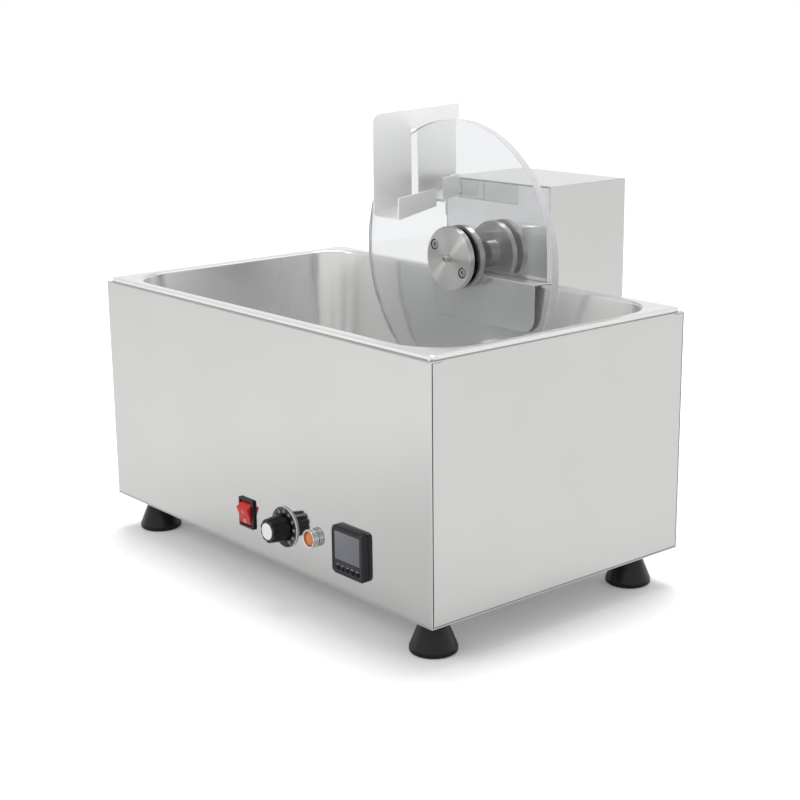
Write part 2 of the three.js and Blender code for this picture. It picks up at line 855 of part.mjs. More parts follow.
function controllerBezel() {
  const half = controllerSide / 2;
  const caseHalf = controllerCaseSide / 2 + fitGap;
  const seat = controllerCaseProud + fitGap;
  const front = fitGap + controllerProjection;
  const body = prism(roundedRectangle(half, half, controllerCorner), fitGap, controllerProjection);
  const rearPocket = block([-caseHalf, -caseHalf, -overrun], [caseHalf, caseHalf, seat]);
  const windowPocket = block(
    [-windowWidth / 2 - fitGap, windowLift - windowHeight / 2 - fitGap, front - windowSheet - fitGap],
    [windowWidth / 2 + fitGap, windowLift + windowHeight / 2 + fitGap, front + overrun],
  );
  const keyHoles = Array.from({ length: keyCount }, (_, i) =>
    block(
      [keyX(i) - keyWidth / 2 - fitGap, -keyDrop - keyHeight / 2 - fitGap, -overrun],
      [keyX(i) + keyWidth / 2 + fitGap, -keyDrop + keyHeight / 2 + fitGap, front + overrun],
    ),
  );
  return cut(body, rearPocket, windowPocket, ...keyHoles);
}

function controllerWindow() {
  const front = fitGap + controllerProjection;
  return block(
    [-windowWidth / 2, windowLift - windowHeight / 2, front - windowSheet],
    [windowWidth / 2, windowLift + windowHeight / 2, front - fitGap],
  );
}

function controllerKey(index) {
  const rear = controllerCaseProud + keyTravel + fitGap;
  return block(
    [keyX(index) - keyWidth / 2, -keyDrop - keyHeight / 2, rear],
    [keyX(index) + keyWidth / 2, -keyDrop + keyHeight / 2, fitGap + controllerProjection + keyProud],
  );
}

function controllerClamp() {
  const half = clampSide / 2;
  const hole = controllerCaseSide / 2 + fitGap;
  const frame = block([-half, -half, -clampSeat - clampSheet], [half, half, -clampSeat]);
  const arms = [-1, 1].map((side) =>
    block(
      [Math.min(side * half, side * (half - clampSheet)), -half / 2, -clampSeat - clampSheet],
      [Math.max(side * half, side * (half - clampSheet)), half / 2, panelRear],
    ),
  );
  const opening = block([-hole, -hole, -clampSeat - clampSheet - overrun], [hole, hole, overrun]);
  return cut(join(frame, ...arms), opening);
}

function addControls() {
  const panel = new THREE.Group();
  panel.position.set(0, frontFace, housingBottom);
  panel.rotation.x = Math.PI / 2;
  machine.add(panel);

  const place = (x, height) => {
    const group = new THREE.Group();
    group.position.set(x, height, 0);
    panel.add(group);
    return group;
  };

  const rockerSwitch = place(switchX, switchHeight);
  add(rockerSwitch, "switch_body", switchBody(), blackPlastic());
  const rocker = add(rockerSwitch, "switch_rocker", switchRocker(), plastic(0xb5151c, 0.3));
  rocker.position.z = -rockerPivotDepth;
  rocker.rotation.x = THREE.MathUtils.degToRad(rockerTiltDegrees);

  const speed = place(speedX, speedHeight);
  add(speed, "speed_control", speedControl(), zincSteel());
  add(speed, "dial_plate", dialPlate(), plastic(0x18181a, 0.4));
  add(speed, "speed_knob", speedKnob(), blackPlastic());
  add(speed, "knob_cap", knobCap(), metal(0xe6e6e6, 0.3));
  add(speed, "control_spindle", controlSpindle(), zincSteel());

  const lamp = place(lampX, lampHeight);
  add(lamp, "pilot_lamp_bezel", lampBezel(), metal(0xdadada, 0.08));
  add(lamp, "pilot_lamp_lens", lampLens(), plastic(0xd9701c, 0.2));

  const controller = place(controllerX, controllerHeight);
  add(controller, "controller_case", controllerCase(), blackPlastic());
  add(controller, "controller_bezel", controllerBezel(), plastic(0x202124, 0.4));
  add(controller, "controller_window", controllerWindow(), plastic(0x6b6b72, 0.2));
  add(controller, "controller_clamp", controllerClamp(), blackPlastic());
  for (let i = 0; i < keyCount; i++) {
    add(controller, "controller_key_" + (i + 1), controllerKey(i), blackRubber());
  }
}

// Board on the base, and the cable inlets

function speedBoard() {
  const bottom = baseTop + fitGap;
  const boardBottom = bottom + boardPostHeight;
  const halfX = boardLength / 2;
  const halfY = boardWidth / 2;
  const board = block([-halfX, -halfY, boardBottom], [halfX, halfY, boardBottom + boardSheet]);
  const inset = 2 * boardPostRadius;
  const posts = [[-1, -1], [1, -1], [-1, 1], [1, 1]].map(([signX, signY]) =>
    at(
      bar(boardPostRadius, bottom, boardBottom + boardSheet / 2, 10),
      signX * (halfX - inset),
      signY * (halfY - inset),
    ),
  );
  const parts = [-1, 1].map((side) => {
    const x = (side * halfX) / 2;
    return block(
      [x - boardPartLength / 2, -boardPartWidth / 2, boardBottom],
      [x + boardPartLength / 2, boardPartWidth / 2, boardBottom + boardSheet + boardPartHeight],
    );
  });
  return join(board, ...posts, ...parts);
}

// Gland along Z in a sheet whose outer face is at zero, with the outside on +Z
function gland(sheet) {
  const sheetRear = -sheet - fitGap;
  return turned([
    [glandBore, sheetRear - glandInside],
    [glandNutRadius, sheetRear - glandInside],
    [glandNutRadius, sheetRear],
    [glandRadius, sheetRear],
    [glandRadius, fitGap],
    [glandNutRadius, fitGap],
    [glandNutRadius, fitGap + glandFlange],
    [glandRadius, fitGap + glandFlange],
    [(glandRadius + glandBore) / 2, glandProjection],
    [glandBore, glandProjection],
  ], 16);
}

function addElectrics() {
  add(machine, "speed_board", speedBoard(), plastic(0x2b6b3f, 0.6)).position.set(boardX, boardY, 0);
  for (const [name, x, height] of glandPlaces()) {
    const inlet = add(machine, name, gland(panelSheet), blackPlastic());
    inlet.position.set(x, rearFace, housingBottom + height);
    inlet.rotation.x = -Math.PI / 2;
  }
}

// Drive unit

function driveCover() {
  const side = [
    [driveFrontY, drivePlateBottom],
    [driveFrontY, driveTop],
    [driveRearY, driveTop],
    [driveRearY, driveBottom],
    [driveLowerFrontY, driveBottom],
    [driveLowerFrontY, drivePlateBottom],
  ];
  return join(
    plateAcrossX(side, driveLeft, driveSheet),
    plateAcrossX(side, driveRight - driveSheet, driveSheet),
    block([driveLeft, driveFrontY, driveTop - driveSheet], [driveRight, driveRearY, driveTop]),
    block([driveLeft, driveRearY - driveSheet, driveBottom], [driveRight, driveRearY, driveTop]),
  );
}

function driveFrontPlate() {
  const plate = block(
    [innerLeft, driveFrontY, drivePlateBottom],
    [innerRight, driveFrontY + driveSheet, driveTop - driveSheet - fitGap],
  );
  const hole = bar(bushRadius + fitGap, -overrun, driveSheet + overrun).rotate([-90, 0, 0]);
  return cut(plate, at(hole, wheelX, driveFrontY, wheelZ));
}

function driveFloor() {
  const floor = block(
    [innerLeft, driveLowerFrontY, driveBottom],
    [innerRight, driveRearY - driveSheet - fitGap, driveBottom + driveSheet],
  );
  const wall = block(
    [innerLeft, driveLowerFrontY, driveBottom],
    [innerRight, driveLowerFrontY + driveSheet, shelfBottom - fitGap],
  );
  const hole = bar(glandRadius + fitGap, driveBottom - overrun, driveBottom + driveSheet + overrun);
  return cut(join(floor, wall), at(hole, unitGlandX, unitGlandY));
}

// Outline of the hanging plate, X and height, round at its lower corners
function hookOutline() {
  const left = driveLeft - hookOverhangLeft;
  const right = driveRight + hookOverhangRight;
  const bottom = shelfTop - hookDrop;
  const steps = 6;
  const arc = (x, fromTurn) =>
    Array.from({ length: steps + 1 }, (_, i) => {
      const angle = (fromTurn + i / steps) * (Math.PI / 2);
      return [x + hookCorner * Math.cos(angle), bottom + hookCorner + hookCorner * Math.sin(angle)];
    });
  return [[right, shelfTop], [left, shelfTop], ...arc(left + hookCorner, 2), ...arc(right - hookCorner, 3)];
}

function hookBracket() {
  const left = driveLeft - hookOverhangLeft;
  const right = driveRight + hookOverhangRight;
  const tabRear = hookTabY + hookSheet;
  const hanging = plateAcrossY(hookOutline(), hookFrontY, hookSheet);
  const shelf = block([left, hookFrontY, shelfBottom], [right, driveLowerFrontY - fitGap, shelfTop]);
  const rearShelf = block([innerLeft, hookFrontY, shelfBottom], [innerRight, tabRear, shelfTop]);
  const tab = block([innerLeft, hookTabY, shelfBottom], [innerRight, tabRear, shelfTop + hookTab]);
  const hole = bar(bushRadius, -overrun, hookSheet + overrun).rotate([-90, 0, 0]);
  return cut(join(hanging, shelf, rearShelf, tab), at(hole, wheelX, hookTabY, wheelZ));
}

function motorBracket() {
  const bottom = driveBottom + driveSheet + fitGap;
  const corner = [innerLeft, bracketY, bottom];
  const plate = block(corner, [innerRight, bracketY + bracketSheet, bottom + bracketHeight]);
  const toe = block(corner, [innerRight, bracketY + bracketToe, bottom + bracketSheet]);
  const hole = bar(bushRadius, -overrun, bracketSheet + overrun).rotate([-90, 0, 0]);
  return cut(join(plate, toe), at(hole, wheelX, bracketY, wheelZ));
}

function gearboxHousing() {
  const outer = block(
    [wheelX - gearboxWidth / 2, gearboxY, wheelZ - gearboxBelow],
    [wheelX + gearboxWidth / 2, gearboxRearY, wheelZ + gearboxAbove],
  );
  const cavity = block(
    [wheelX - gearboxWidth / 2 + gearboxWall, gearboxY + gearboxWall, wheelZ - gearboxBelow + gearboxWall],
    [wheelX + gearboxWidth / 2 - gearboxWall, gearboxRearY + overrun, wheelZ + gearboxAbove - gearboxWall],
  );
  const hole = bar(shaftRadius + fitGap, -overrun, gearboxWall + overrun).rotate([-90, 0, 0]);
  return cut(outer, cavity, at(hole, wheelX, gearboxY, wheelZ));
}

// Motor along Z, front flange at zero, with a bore for its rotor
function motor() {
  const flange = block(
    [-gearboxWidth / 2, gearCentres - gearboxBelow, -motorFlange],
    [gearboxWidth / 2, gearCentres + gearboxAbove, 0],
  );
  const rear = -motorFlange - motorLength;
  const can = bar(motorRadius, rear, -motorFlange / 2, 32);
  const rearBoss = bar(motorBossRadius, rear - motorBossLength, rear / 2);
  const bore = bar(rotorRadius + fitGap, -rotorDepth - fitGap, overrun, 16);
  return cut(join(flange, can, rearBoss), bore);
}

// Outline of a spur gear with straight flanks, thin enough to leave backlash
function gearOutline(teeth) {
  const pitchRadius = (gearModule * teeth) / 2;
  const toothShares = [[-0.27, -1.2], [-0.12, 0.9], [0.12, 0.9], [0.27, -1.2]];
  return Array.from({ length: teeth }, (_, tooth) =>
    toothShares.map(([turnShare, reachShare]) => {
      const angle = ((tooth + turnShare) / teeth) * 2 * Math.PI;
      const radius = pitchRadius + reachShare * gearModule;
      return [radius * Math.cos(angle), radius * Math.sin(angle)];
    }),
  ).flat();
}

// Gears along Z, in the wheel's frame, where +Z runs to the front
const gearFront = wheelY - gearboxY - gearboxWall - gearEndGap;

function driveGear() {
  const gear = prism(gearOutline(driveGearTeeth), gearFront - gearWidth, gearWidth);
  return cut(gear, bar(shaftRadius + fitGap, gearFront - gearWidth - overrun, gearFront + overrun));
}

function motorPinion() {
  const middle = gearFront - gearWidth / 2;
  const pinion = prism(gearOutline(pinionTeeth), middle - pinionWidth / 2, pinionWidth);
  return join(pinion, bar(rotorRadius, wheelY - motorY - rotorDepth, middle + pinionWidth / 2, 16));
}

const rearWheelFace = -wheelThickness / 2;
const frontWheelFace = wheelThickness / 2;
const hubRearFront = rearWheelFace - gasketSheet - 2 * fitGap;
const hubRearBack = hubRearFront - hubRearThickness;
const hubFrontBack = frontWheelFace + gasketSheet + 2 * fitGap;
const hubFrontFace = hubFrontBack + hubFrontThickness;

function hubScrewPlaces() {
  return Array.from({ length: hubScrewCount }, (_, i) => {
    const angle = THREE.MathUtils.degToRad(hubScrewAngleDegrees) + (2 * Math.PI * i) / hubScrewCount;
    return [hubScrewCircle * Math.cos(angle), hubScrewCircle * Math.sin(angle)];
  });
}

// Screw holes for every layer of the hub, between two heights
function hubScrewHoles(bottom, top, radius = hubScrewRadius + fitGap) {
  return hubScrewPlaces().map(([x, y]) => at(bar(radius, bottom, top, 12), x, y));
}

function temperingWheel() {
  const disc = bar(wheelRadius, rearWheelFace, frontWheelFace, wheelSides);
  const from = rearWheelFace - overrun;
  const to = frontWheelFace + overrun;
  return cut(disc, bar(pinRadius + fitGap, from, to), ...hubScrewHoles(from, to));
}

function gasket(bottom) {
  const top = bottom + gasketSheet;
  const ring = sleeve(hubRadius - gasketInset, pinRadius + fitGap, bottom, top, hubSides);
  return cut(ring, ...hubScrewHoles(bottom - overrun, top + overrun));
}

function hubFrontFlange() {
  const flange = sleeve(hubRadius, pinRadius + fitGap, hubFrontBack, hubFrontFace, hubSides);
  return cut(
    flange,
    ...hubScrewHoles(hubFrontBack - overrun, hubFrontFace),
    ...hubScrewHoles(hubFrontFace - hubScrewPocketDepth, hubFrontFace + overrun, hubScrewPocketRadius),
  );
}

function hubRearFlange() {
  const boss = hubRearBack - hubBossLength;
  const shaftBore = shaftRadius + fitGap;
  const pinBore = pinRadius + fitGap;
  const flange = turned([
    [pinBore, hubRearFront],
    [hubRadius, hubRearFront],
    [hubRadius, hubRearBack],
    [hubBossRadius, hubRearBack],
    [hubBossRadius, boss],
    [shaftBore, boss],
    [shaftBore, hubRearFront - hubShoulder],
    [pinBore, hubRearFront - hubShoulder],
  ], hubSides);
  return cut(flange, ...hubScrewHoles(hubRearFront - hubScrewGrip - fitGap, hubRearFront + overrun));
}

function hubScrew() {
  const seat = hubFrontFace - hubScrewPocketDepth + fitGap;
  const top = seat + hubScrewHead;
  const shank = bar(hubScrewRadius, hubRearFront - hubScrewGrip, seat + hubScrewHead / 2, 12);
  const socket = bar(hubSocketRadius, top - hubSocketDepth, top + overrun, 6);
  return cut(join(bar(hubScrewHeadRadius, seat, top, 20), shank), socket);
}

function outputShaft() {
  const shoulder = hubRearFront - hubShoulder - fitGap;
  const rear = wheelY - gearboxRearY + shaftEndGap;
  return turned([
    [0, rear],
    [shaftRadius, rear],
    [shaftRadius, shoulder],
    [pinRadius, shoulder],
    [pinRadius, hubFrontFace + pinProjection],
    [0, hubFrontFace + pinProjection],
  ], 24);
}

// Flanged bush in the front plate, its flange inside the box
function shaftBush() {
  const plateFront = wheelY - driveFrontY;
  const plateRear = plateFront - driveSheet - fitGap;
  const bore = shaftRadius + fitGap;
  return turned([
    [bore, plateFront + bushProud - bushLength],
    [bushRadius, plateFront + bushProud - bushLength],
    [bushRadius, plateRear - bushFlange],
    [bushFlangeRadius, plateRear - bushFlange],
    [bushFlangeRadius, plateRear],
    [bushRadius, plateRear],
    [bushRadius, plateFront + bushProud],
    [bore, plateFront + bushProud],
  ], 20);
}

// Scraper: one folded sheet with a slot for the wheel, a trough to each side of it, and a tongue

const plateX = driveLeft - scraperOffset; // face towards the wheel
const plateOuterX = plateX - scraperSheet;
const troughX = plateX + troughWidth;
const nearEnd = wheelY - wheelThickness / 2 - scraperClearance;
const nearStart = nearEnd - troughNearLength;
const farStart = wheelY + wheelThickness / 2 + scraperFarClearance;
const farEnd = farStart + troughFarLength;
const plateEnd = driveFrontY + scraperRearReach;
const troughSlope = Math.tan(THREE.MathUtils.degToRad(troughSlopeDegrees));
const topSlope = Math.tan(THREE.MathUtils.degToRad(scraperTopSlopeDegrees));
const neckY = driveFrontY + neckSetback;
const tongueX = driveLeft - fitGap - pocketSheet - fitGap - scraperSheet;

function troughZ(y) {
  const step = y > wheelY ? troughFarStep : 0;
  return wheelZ + troughRise + (y - nearStart) * troughSlope + step;
}

function plateTopZ(y) {
  return wheelZ + wheelRadius + scraperTopRise + (y - nearStart) * topSlope;
}

const neckBottom = troughZ(farEnd) - neckDrop;
const neckTop = neckBottom + neckHeight;
const tongueBottom = neckBottom - tongueDrop;

function scraperPlate() {
  const steps = 5;
  const corner = Array.from({ length: steps + 1 }, (_, i) => {
    const angle = ((2 - i / steps) * Math.PI) / 2;
    return [
      nearStart + scraperCorner + scraperCorner * Math.cos(angle),
      plateTopZ(nearStart) - scraperCorner + scraperCorner * Math.sin(angle),
    ];
  });
  const reachX = wheelX - plateOuterX;
  const slotTop = wheelZ + Math.sqrt(wheelRadius ** 2 - reachX ** 2) + scraperBridgeGap + scraperSheet;
  return [
    [nearStart, troughZ(nearStart)],
    ...corner,
    [plateEnd, plateTopZ(plateEnd)],
    [plateEnd, troughZ(farEnd)],
    [neckY, troughZ(farEnd)],
    [neckY, neckBottom],
    [neckY - neckWidth, neckBottom],
    [neckY - neckWidth, troughZ(farEnd)],
    [farStart, troughZ(farStart)],
    [farStart, slotTop],
    [nearEnd, slotTop],
    [nearEnd, troughZ(nearEnd)],
  ];
}

// Floor and lip of the trough between two places along the wheel's axis
function trough(start, end, endLip, startLip) {
  const floor = [
    [start, troughZ(start)],
    [end, troughZ(end)],
    [end, troughZ(end) + scraperSheet],
    [start, troughZ(start) + scraperSheet],
  ];
  const lip = [
    [start, troughZ(start)],
    [end, troughZ(end)],
    [end, troughZ(end) + endLip],
    [start, troughZ(start) + startLip],
  ];
  return join(
    plateAcrossX(floor, plateOuterX, troughX - plateOuterX),
    plateAcrossX(lip, troughX - scraperSheet, scraperSheet),
  );
}

function scraper() {
  const plate = plateAcrossX(scraperPlate(), plateOuterX, scraperSheet);
  const neckFront = neckY - scraperSheet;
  const neck = block([plateOuterX, neckFront, neckBottom], [tongueX + scraperSheet, neckY, neckTop]);
  const tongue = block(
    [tongueX, neckFront, tongueBottom],
    [tongueX + scraperSheet, neckY + tongueLength, tongueBottom + tongueHeight],
  );
  const lipShare = lipHeight / (lipHeight + lipEndHeight);
  const farLip = lipEndHeight + lipHeight * (1 - lipShare) * (troughFarLength / troughNearLength);
  return join(
    plate,
    trough(nearStart, nearEnd, lipEndHeight, lipHeight),
    trough(farStart, farEnd, lipHeight, farLip),
    neck,
    tongue,
  );
}

// Pocket open at the top, with its front edge cut down to a seat for the scraper's neck
function scraperPocket() {
  const wallX = driveLeft - fitGap;
  const outerX = tongueX - fitGap - pocketSheet;
  const bottom = tongueBottom - pocketFloorGap - pocketSheet;
  const front = neckY - scraperSheet - fitGap - pocketSheet;
  const rear = neckY + tongueLength + fitGap + pocketSheet;
  const outer = block([outerX, front, bottom], [wallX, rear, tongueBottom + tongueHeight]);
  const hollow = block(
    [outerX + pocketSheet, front + pocketSheet, bottom + pocketSheet],
    [wallX - pocketSheet, rear - pocketSheet, tongueBottom + tongueHeight + overrun],
  );
  const seat = block(
    [outerX - overrun, front - overrun, neckBottom - fitGap],
    [wallX - pocketSheet, neckY + fitGap, tongueBottom + tongueHeight + overrun],
  );
  return cut(outer, hollow, seat);
}

function addDriveUnit() {
  add(machine, "drive_cover", driveCover(), polishedSteel());
  add(machine, "drive_front_plate", driveFrontPlate(), polishedSteel());
  add(machine, "drive_floor", driveFloor(), satinSteel());
  const inlet = add(machine, "drive_unit_gland", gland(driveSheet), blackPlastic());
  inlet.position.set(unitGlandX, unitGlandY, driveBottom);
  inlet.rotation.x = Math.PI;
  add(machine, "hook_bracket", hookBracket(), polishedSteel());
  add(machine, "motor_bracket", motorBracket(), zincSteel());
  add(machine, "gearbox_housing", gearboxHousing(), metal(0x9a9c9e, 0.5));
  const motorMesh = add(machine, "motor", motor(), metal(0x4a4c50, 0.5));
  motorMesh.position.set(wheelX, motorY, motorZ);
  motorMesh.rotation.x = Math.PI / 2;
  add(machine, "scraper", scraper(), satinSteel());
  add(machine, "scraper_pocket", scraperPocket(), satinSteel());
}

function addWheel() {
  const wheel = new THREE.Group();
  wheel.position.set(wheelX, wheelY, wheelZ);
  wheel.rotation.x = Math.PI / 2;
  machine.add(wheel);

  const acrylic = new THREE.MeshStandardMaterial({
    color: 0xf2f5f5,
    roughness: 0.05,
    metalness: 0,
    transparent: true,
    opacity: 0.35,
  });
  add(wheel, "tempering_wheel", temperingWheel(), acrylic);
  add(wheel, "gasket_front", gasket(frontWheelFace + fitGap), blackRubber());
  add(wheel, "gasket_rear", gasket(rearWheelFace - fitGap - gasketSheet), blackRubber());
  add(wheel, "hub_front_flange", hubFrontFlange(), satinSteel());
  add(wheel, "hub_rear_flange", hubRearFlange(), satinSteel());
  hubScrewPlaces().forEach(([x, y], i) => {
    add(wheel, "hub_screw_" + (i + 1), hubScrew(), zincSteel()).position.set(x, y, 0);
  });
  add(wheel, "output_shaft", outputShaft(), satinSteel());
  add(wheel, "drive_gear", driveGear(), metal(0x8f8f8a, 0.4));
  add(wheel, "shaft_bush", shaftBush(), metal(0xb08a4a, 0.4));
  const pinion = add(wheel, "motor_pinion", motorPinion(), metal(0x8f8f8a, 0.4));
  pinion.position.y = -gearCentres;
  pinion.rotation.z = Math.PI / 2 + Math.PI / pinionTeeth;
}

addHousing();
addControls();
addElectrics();
addDriveUnit();
addWheel();

// The origin goes under the middle of the whole machine
machine.updateMatrixWorld(true);
const reach = new THREE.Box3().setFromObject(machine);
machine.position.x = -(reach.min.x + reach.max.x) / 2;
machine.position.y = -(reach.min.y + reach.max.y) / 2;

export default machine;
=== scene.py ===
# Chocolate tempering machine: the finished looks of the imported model, in metres
import json
import math
import bmesh
import bpy
from mathutils import Matrix, Vector

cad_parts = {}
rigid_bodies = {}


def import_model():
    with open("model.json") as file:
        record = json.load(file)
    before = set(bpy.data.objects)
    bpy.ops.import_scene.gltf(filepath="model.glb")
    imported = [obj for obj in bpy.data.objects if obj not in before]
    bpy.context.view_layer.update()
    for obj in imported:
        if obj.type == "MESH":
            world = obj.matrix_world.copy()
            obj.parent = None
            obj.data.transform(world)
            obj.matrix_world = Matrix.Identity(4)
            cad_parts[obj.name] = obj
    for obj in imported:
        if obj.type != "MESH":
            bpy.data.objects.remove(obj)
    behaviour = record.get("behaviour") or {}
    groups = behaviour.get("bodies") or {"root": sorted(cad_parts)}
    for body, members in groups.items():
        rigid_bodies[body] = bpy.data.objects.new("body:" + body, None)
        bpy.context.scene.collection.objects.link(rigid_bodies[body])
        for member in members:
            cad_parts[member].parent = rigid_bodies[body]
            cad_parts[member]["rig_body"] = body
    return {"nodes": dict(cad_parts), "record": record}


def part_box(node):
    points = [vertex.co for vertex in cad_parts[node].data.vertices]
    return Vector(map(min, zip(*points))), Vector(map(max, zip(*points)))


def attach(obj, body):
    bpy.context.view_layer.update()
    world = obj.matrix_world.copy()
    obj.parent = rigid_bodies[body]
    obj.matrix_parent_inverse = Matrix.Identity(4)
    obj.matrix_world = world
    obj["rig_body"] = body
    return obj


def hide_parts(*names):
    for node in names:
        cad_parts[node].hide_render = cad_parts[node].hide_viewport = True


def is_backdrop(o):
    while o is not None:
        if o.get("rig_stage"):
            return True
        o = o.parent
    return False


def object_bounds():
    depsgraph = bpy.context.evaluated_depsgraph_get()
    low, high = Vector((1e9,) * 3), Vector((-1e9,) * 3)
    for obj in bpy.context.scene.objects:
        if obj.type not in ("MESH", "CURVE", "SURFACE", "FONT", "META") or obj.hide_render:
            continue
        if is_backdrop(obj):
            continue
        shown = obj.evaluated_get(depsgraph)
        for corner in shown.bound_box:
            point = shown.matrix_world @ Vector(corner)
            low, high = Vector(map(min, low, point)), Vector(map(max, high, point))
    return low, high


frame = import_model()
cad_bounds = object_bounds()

MM = 0.001
MERGED = 2e-7  # corners of a new shape nearer than this, in metres, become one
CAD_MERGED = 2e-6  # the same for the corners of a CAD node
FOLD = math.radians(20)  # an edge that turns by more is a bend or a cut edge
LEAST_BEVEL = 0.06  # share of the bevel at an edge that stays sharp, because none spoils its shading
ON_AXIS = 1e-6  # a radius under this is the axis itself
nodes = frame["nodes"]
slot_of = {row["node"]: row["material_slot"] for row in frame["record"]["subparts"]}


# Node graphs

def feed(tree, socket, value):
    """Joins a socket to another one, or sets it to a plain value."""
    if isinstance(value, bpy.types.NodeSocket):
        tree.links.new(value, socket)
    else:
        socket.default_value = value


def add_node(tree, kind, inputs=None, **settings):
    """Adds a node with its settings and inputs."""
    node = tree.nodes.new(kind)
    for key, value in settings.items():
        setattr(node, key, value)
    for key, value in (inputs or {}).items():
        feed(tree, node.inputs[key], value)
    return node


class Finish:
    """A material and a short way to add nodes to it."""

    def __init__(self, name):
        self.material = bpy.data.materials.new(name)
        self.material.use_nodes = True
        self.tree = self.material.node_tree
        self.shader = self.tree.nodes["Principled BSDF"]
        self.place = self.add("ShaderNodeTexCoord").outputs["Object"]

    def add(self, kind, inputs=None, **settings):
        return add_node(self.tree, kind, inputs, **settings)

    def set(self, **values):
        for key, value in values.items():
            feed(self.tree, self.shader.inputs[key.replace("_", " ")], value)

    def noise(self, per_metre, detail=3, roughness=0.5):
        """Noise with one number of waves per metre, or with one each along X, Y and Z."""
        waves = per_metre if isinstance(per_metre, tuple) else (per_metre,) * 3
        mapping = self.add("ShaderNodeMapping", {"Vector": self.place, "Scale": waves}, vector_type="POINT")
        grain = self.add("ShaderNodeTexNoise", {
            "Vector": mapping.outputs[0], "Scale": 1.0, "Detail": detail, "Roughness": roughness,
        })
        return grain.outputs[0]

    def between(self, value, low, high, from_low=0.25, from_high=0.75):
        """Value spread from low to high."""
        return self.add("ShaderNodeMapRange", {
            "Value": value, "From Min": from_low, "From Max": from_high, "To Min": low, "To Max": high,
        }).outputs[0]

    def around(self, value, middle, less, more):
        """Value spread about a middle, from less to more of it."""
        return self.between(value, middle * less, middle * more)

    def sum(self, first, second, operation="ADD"):
        return self.add("ShaderNodeMath", {0: first, 1: second}, operation=operation).outputs[0]

    def blend(self, factor, first, second):
        """Colour between two colours."""
        colours = [(*colour, 1) if isinstance(colour, tuple) else colour for colour in (first, second)]
        return self.add("ShaderNodeMix", {
            "Factor": factor, "A": colours[0], "B": colours[1],
        }, data_type="RGBA").outputs["Result"]

    def relief(self, *layers):
        """Bump from pairs of height and depth in metres, one on the other."""
        below = {}
        for height, depth in layers:
            bump = self.add("ShaderNodeBump", {"Strength": 1.0, "Distance": depth, "Height": height, **below})
            below = {"Normal": bump.outputs[0]}
        self.set(**below)


def shade(colour, factor):
    """Darker or paler colour."""
    return tuple(c * factor for c in colour)


def sheet_steel(name, colour, roughness, grain_per_metre, grain_depth, haze, wave, metal):
    """Rolled or brushed sheet: fine directional grain, faint smudges and a slightly wavy surface."""
    finish = Finish(name)
    grain = finish.noise(grain_per_metre, detail=4, roughness=0.6)
    smudge = finish.noise(9, detail=5, roughness=0.6)
    scuff = finish.noise(60, detail=2)
    edge_paleness = finish.sum(finish.between(smudge, 0, haze), finish.between(scuff, 0, haze / 3))
    finish.set(
        Metallic=metal,
        Base_Color=finish.blend(finish.between(smudge, 0, 1), shade(colour, 0.985), shade(colour, 1.015)),
        Roughness=finish.sum(edge_paleness, finish.around(grain, roughness, 0.88, 1.12)),
    )
    layers = [(grain, grain_depth)]
    if wave:
        layers.append((finish.noise(5, detail=1), wave))
    finish.relief(*layers)
    return finish.material


def turned_steel(name, colour, roughness, centre, anisotropy, groove):
    """Metal turned about a line along Y: fine rings on its faces, and highlights that run outwards."""
    finish = Finish(name)
    arm = finish.add("ShaderNodeVectorMath", {0: finish.place, 1: centre}, operation="SUBTRACT")
    flat = finish.add("ShaderNodeVectorMath", {0: arm.outputs[0], 1: (1, 0, 1)}, operation="MULTIPLY")
    radius = finish.add("ShaderNodeVectorMath", {0: flat.outputs[0]}, operation="LENGTH").outputs["Value"]
    depth = finish.add("ShaderNodeSeparateXYZ", {0: arm.outputs[0]}).outputs["Y"]
    lane = finish.add("ShaderNodeCombineXYZ", {"X": radius, "Y": depth})
    rings = finish.add(
        "ShaderNodeTexNoise", {"Vector": lane.outputs[0], "Scale": 2600.0, "Detail": 3.0, "Roughness": 0.6}
    ).outputs[0]
    along = finish.add("ShaderNodeVectorMath", {0: flat.outputs[0], 1: (0, 1, 0)}, operation="CROSS_PRODUCT")
    groove_way = finish.add("ShaderNodeVectorMath", {0: along.outputs[0]}, operation="NORMALIZE")
    turned = finish.add(
        "ShaderNodeVectorTransform", {0: groove_way.outputs[0]},
        vector_type="VECTOR", convert_from="OBJECT", convert_to="WORLD",
    )
    finish.set(
        Metallic=1.0,
        Base_Color=finish.blend(finish.between(rings, 0, 1), shade(colour, 0.98), shade(colour, 1.02)),
        Roughness=finish.sum(
            finish.around(rings, roughness, 0.93, 1.07), finish.between(finish.noise(45), 0, 0.03)
        ),
        Anisotropic=anisotropy,
        Anisotropic_Rotation=0.25,
        Tangent=turned.outputs[0],
    )
    finish.relief((rings, groove))
    return finish.material


def cast_metal(name, colour, roughness, grain, depth):
    """Zinc plate, castings and bronze: an even fine grain with duller patches."""
    finish = Finish(name)
    fine = finish.noise(grain)
    patch = finish.noise(40, detail=4)
    finish.set(
        Metallic=1.0,
        Base_Color=finish.blend(finish.between(patch, 0, 1), shade(colour, 0.85), shade(colour, 1.1)),
        Roughness=finish.sum(finish.around(fine, roughness, 0.85, 1.1), finish.between(patch, 0, 0.08)),
    )
    finish.relief((fine, depth))
    return finish.material


